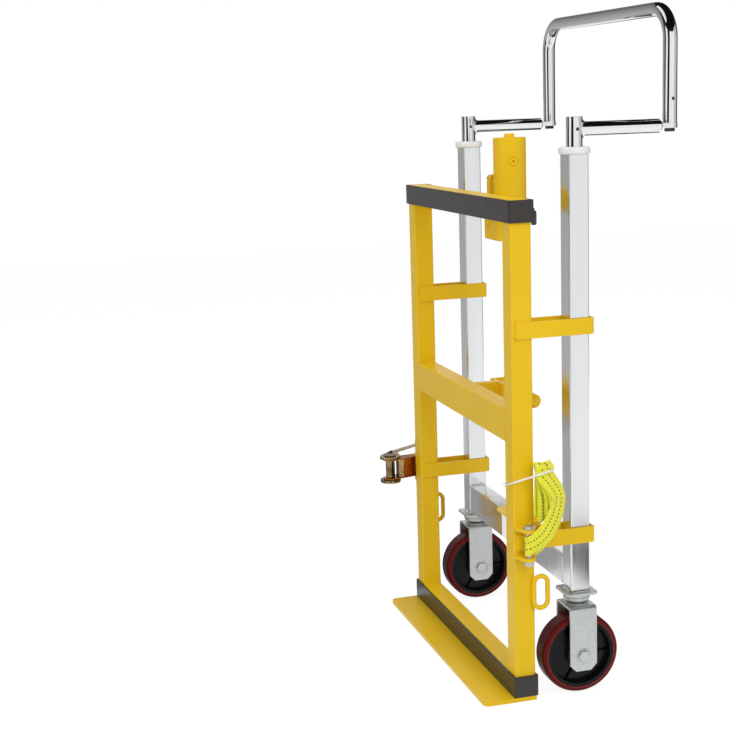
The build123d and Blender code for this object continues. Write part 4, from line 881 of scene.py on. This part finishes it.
def add_floor():
    material, tree = bare_material("floor")
    glow = tree.nodes.new("ShaderNodeEmission")
    glow.inputs["Strength"].default_value = FLOOR_GLOW
    both = tree.nodes.new("ShaderNodeAddShader")
    tree.links.new(matt(tree, FLOOR_SHADED), both.inputs[0])
    tree.links.new(glow.outputs["Emission"], both.inputs[1])
    pick = tree.nodes.new("ShaderNodeMixShader")
    tree.links.new(seen_ray(tree), pick.inputs["Fac"])
    tree.links.new(matt(tree, FLOOR_PLAIN), pick.inputs[1])
    tree.links.new(both.outputs["Shader"], pick.inputs[2])
    tree.links.new(pick.outputs["Shader"], tree.nodes["Material Output"].inputs["Surface"])
    signs = ((-1, -1), (1, -1), (1, 1), (-1, 1))
    corners = [(sx * FLOOR_HALF, sy * FLOOR_HALF, FLOOR_LEVEL) for sx, sy in signs]
    add_stage("floor", corners, [(0, 1, 2, 3)], material)


def add_world():
    world = bpy.data.worlds.new("studio")
    bpy.context.scene.world = world
    world.use_nodes = True
    tree = world.node_tree
    strength = tree.nodes.new("ShaderNodeMapRange")
    strength.inputs["To Min"].default_value = WORLD_LIGHT
    strength.inputs["To Max"].default_value = WORLD_SEEN
    tree.links.new(seen_ray(tree), strength.inputs["Value"])
    background = tree.nodes["Background"]
    background.inputs["Color"].default_value = (1, 1, 1, 1)
    tree.links.new(strength.outputs["Result"], background.inputs["Strength"])


# Cards that only reflections show, in metres. The curved ones: azimuth from and to in degrees, radius,
# bottom and top, and brightness at both.
CARD_CENTRE = (0.0, -0.15)
CARD_STEPS = 12
CARDS = {
    "card_right": (4, 56, 2.4, (0.0, 3.3), (0.52, 0.14)),
    "card_far_low": (-38, 4, 2.4, (0.0, 0.4), (0.06, 0.06)),
    "card_far": (-38, 4, 2.4, (0.4, 3.3), (0.40, 0.05)),
    "card_front": (56, 86, 3.0, (0.0, 2.6), (0.04, 0.04)),
    "card_camera": (118, 150, 3.0, (0.0, 2.6), (0.015, 0.015)),
    "card_side": (218, 262, 3.0, (0.0, 2.6), (0.62, 0.62)),
    "card_back": (262, 338, 3.0, (0.0, 2.6), (0.07, 0.07)),
}
# Flat cards, on the ground and over the cart: height, brightness and corners
CARD_LOW = 0.001
CARD_HIGH = 3.25
FLATS = {
    "card_ground": (CARD_LOW, 0.36, ((0.36, -0.1), (2.4, 0.1), (2.0, 1.9), (0.36, 0.5))),
    "card_ground_far": (
        CARD_LOW, 0.08,
        ((0.0, -0.45), (0.6, -1.7), (2.3, -1.6), (2.4, 0.1), (0.36, -0.1), (0.1, -0.25)),
    ),
    "card_slot": (
        CARD_HIGH, 1.0,
        ((1.45, 0.35), (1.95, 1.15), (0.70, 2.20), (-0.75, 2.90), (-1.05, 1.45), (-0.30, 0.65), (0.55, 0.45)),
    ),
    "card_ground_near": (
        CARD_LOW, 0.0,
        ((-1.22, -0.74), (-1.20, -0.44), (-0.86, -0.40), (-0.64, -0.44), (-0.64, -0.60)),
    ),
    "card_ground_edge": (
        CARD_LOW, 0.05,
        ((2.3, -1.6), (3.2, -4.6), (6.8, -2.6), (7.0, 0.4), (2.4, 0.1)),
    ),
}
# Upright white cards for level faces: place across the cart, back and front, bottom and top
REFLECTOR_BRIGHTNESS = 1.0
REFLECTORS = {
    "card_near_caster": (0.06, (-0.55, 0.0), (0.19, 0.42)),
    "card_far_caster": (0.62, (-0.55, 0.0), (0.19, 0.42)),
    "card_rails": (1.0, (-0.66, -0.22), (0.68, 1.10)),
}
CEILING_HEIGHT = 3.3
CEILING_RADIUS = 5.5
CEILING_STEP = 15
CEILING_BRIGHTNESS = 0.006


def add_card(name, points, faces, heights, brightness):
    """A card from one brightness at its bottom to another at its top."""
    material, tree = bare_material(name)
    place = tree.nodes.new("ShaderNodeTexCoord")
    split = tree.nodes.new("ShaderNodeSeparateXYZ")
    tree.links.new(place.outputs["Object"], split.inputs["Vector"])
    level = tree.nodes.new("ShaderNodeMapRange")
    for socket, value in zip(("From Min", "From Max", "To Min", "To Max"), (*heights, *brightness)):
        level.inputs[socket].default_value = value
    tree.links.new(split.outputs["Z"], level.inputs["Value"])
    glow = tree.nodes.new("ShaderNodeEmission")
    tree.links.new(level.outputs["Result"], glow.inputs["Strength"])
    tree.links.new(glow.outputs["Emission"], tree.nodes["Material Output"].inputs["Surface"])
    card = add_stage(name, points, faces, material)
    for kind in ("camera", "diffuse", "transmission", "volume_scatter", "shadow"):
        setattr(card, f"visible_{kind}", False)


def add_even_card(name, points, brightness):
    """A card of one face, as bright at any height."""
    add_card(name, points, [tuple(range(len(points)))], (0.0, 1.0), (brightness, brightness))


def on_ring(azimuth, height, radius):
    turn = math.radians(azimuth)
    return (CARD_CENTRE[0] + radius * math.cos(turn), CARD_CENTRE[1] + radius * math.sin(turn), height)


def add_cards():
    """Grey and dark cards round the studio, for the reflections in the chrome."""
    for name, (start, stop, radius, heights, brightness) in CARDS.items():
        points = [
            on_ring(start + (stop - start) * step / CARD_STEPS, height, radius)
            for step in range(CARD_STEPS + 1) for height in heights
        ]
        faces = [(2 * k, 2 * k + 2, 2 * k + 3, 2 * k + 1) for k in range(CARD_STEPS)]
        add_card(name, points, faces, heights, brightness)
    rim = [on_ring(azimuth, CEILING_HEIGHT, CEILING_RADIUS) for azimuth in range(0, 360, CEILING_STEP)]
    add_even_card("card_ceiling", rim, CEILING_BRIGHTNESS)
    for name, (height, brightness, corners) in FLATS.items():
        add_even_card(name, [(x, y, height) for x, y in corners], brightness)
    for name, (x, (back, front), (low, high)) in REFLECTORS.items():
        corners = [(x, back, low), (x, front, low), (x, front, high), (x, back, high)]
        add_even_card(name, corners, REFLECTOR_BRIGHTNESS)


# Lamps: place, size and power
LAMP_TARGET = Vector((0, -0.15, 0.6))
LAMPS = {
    "key": ((-3.0, -0.3, 2.6), (1.6, 2.2), 37),
    "fill": ((-1.6, 3.0, 2.2), (2.0, 2.0), 28),
    "top": ((0.3, -0.3, 3.4), (2.4, 2.4), 26),
}


def add_lamps():
    for name, (place, size, power) in LAMPS.items():
        data = bpy.data.lights.new(name, "AREA")
        data.shape = "RECTANGLE"
        data.size, data.size_y = size
        data.energy = power
        lamp = bpy.data.objects.new(name, data)
        lamp.location = place
        lamp.rotation_euler = (LAMP_TARGET - Vector(place)).to_track_quat("-Z", "Y").to_euler()
        lamp.visible_glossy = False
        bpy.context.scene.collection.objects.link(lamp)


add_floor()
add_world()
add_cards()
add_lamps()

bpy.context.scene.view_settings.view_transform = "Standard"
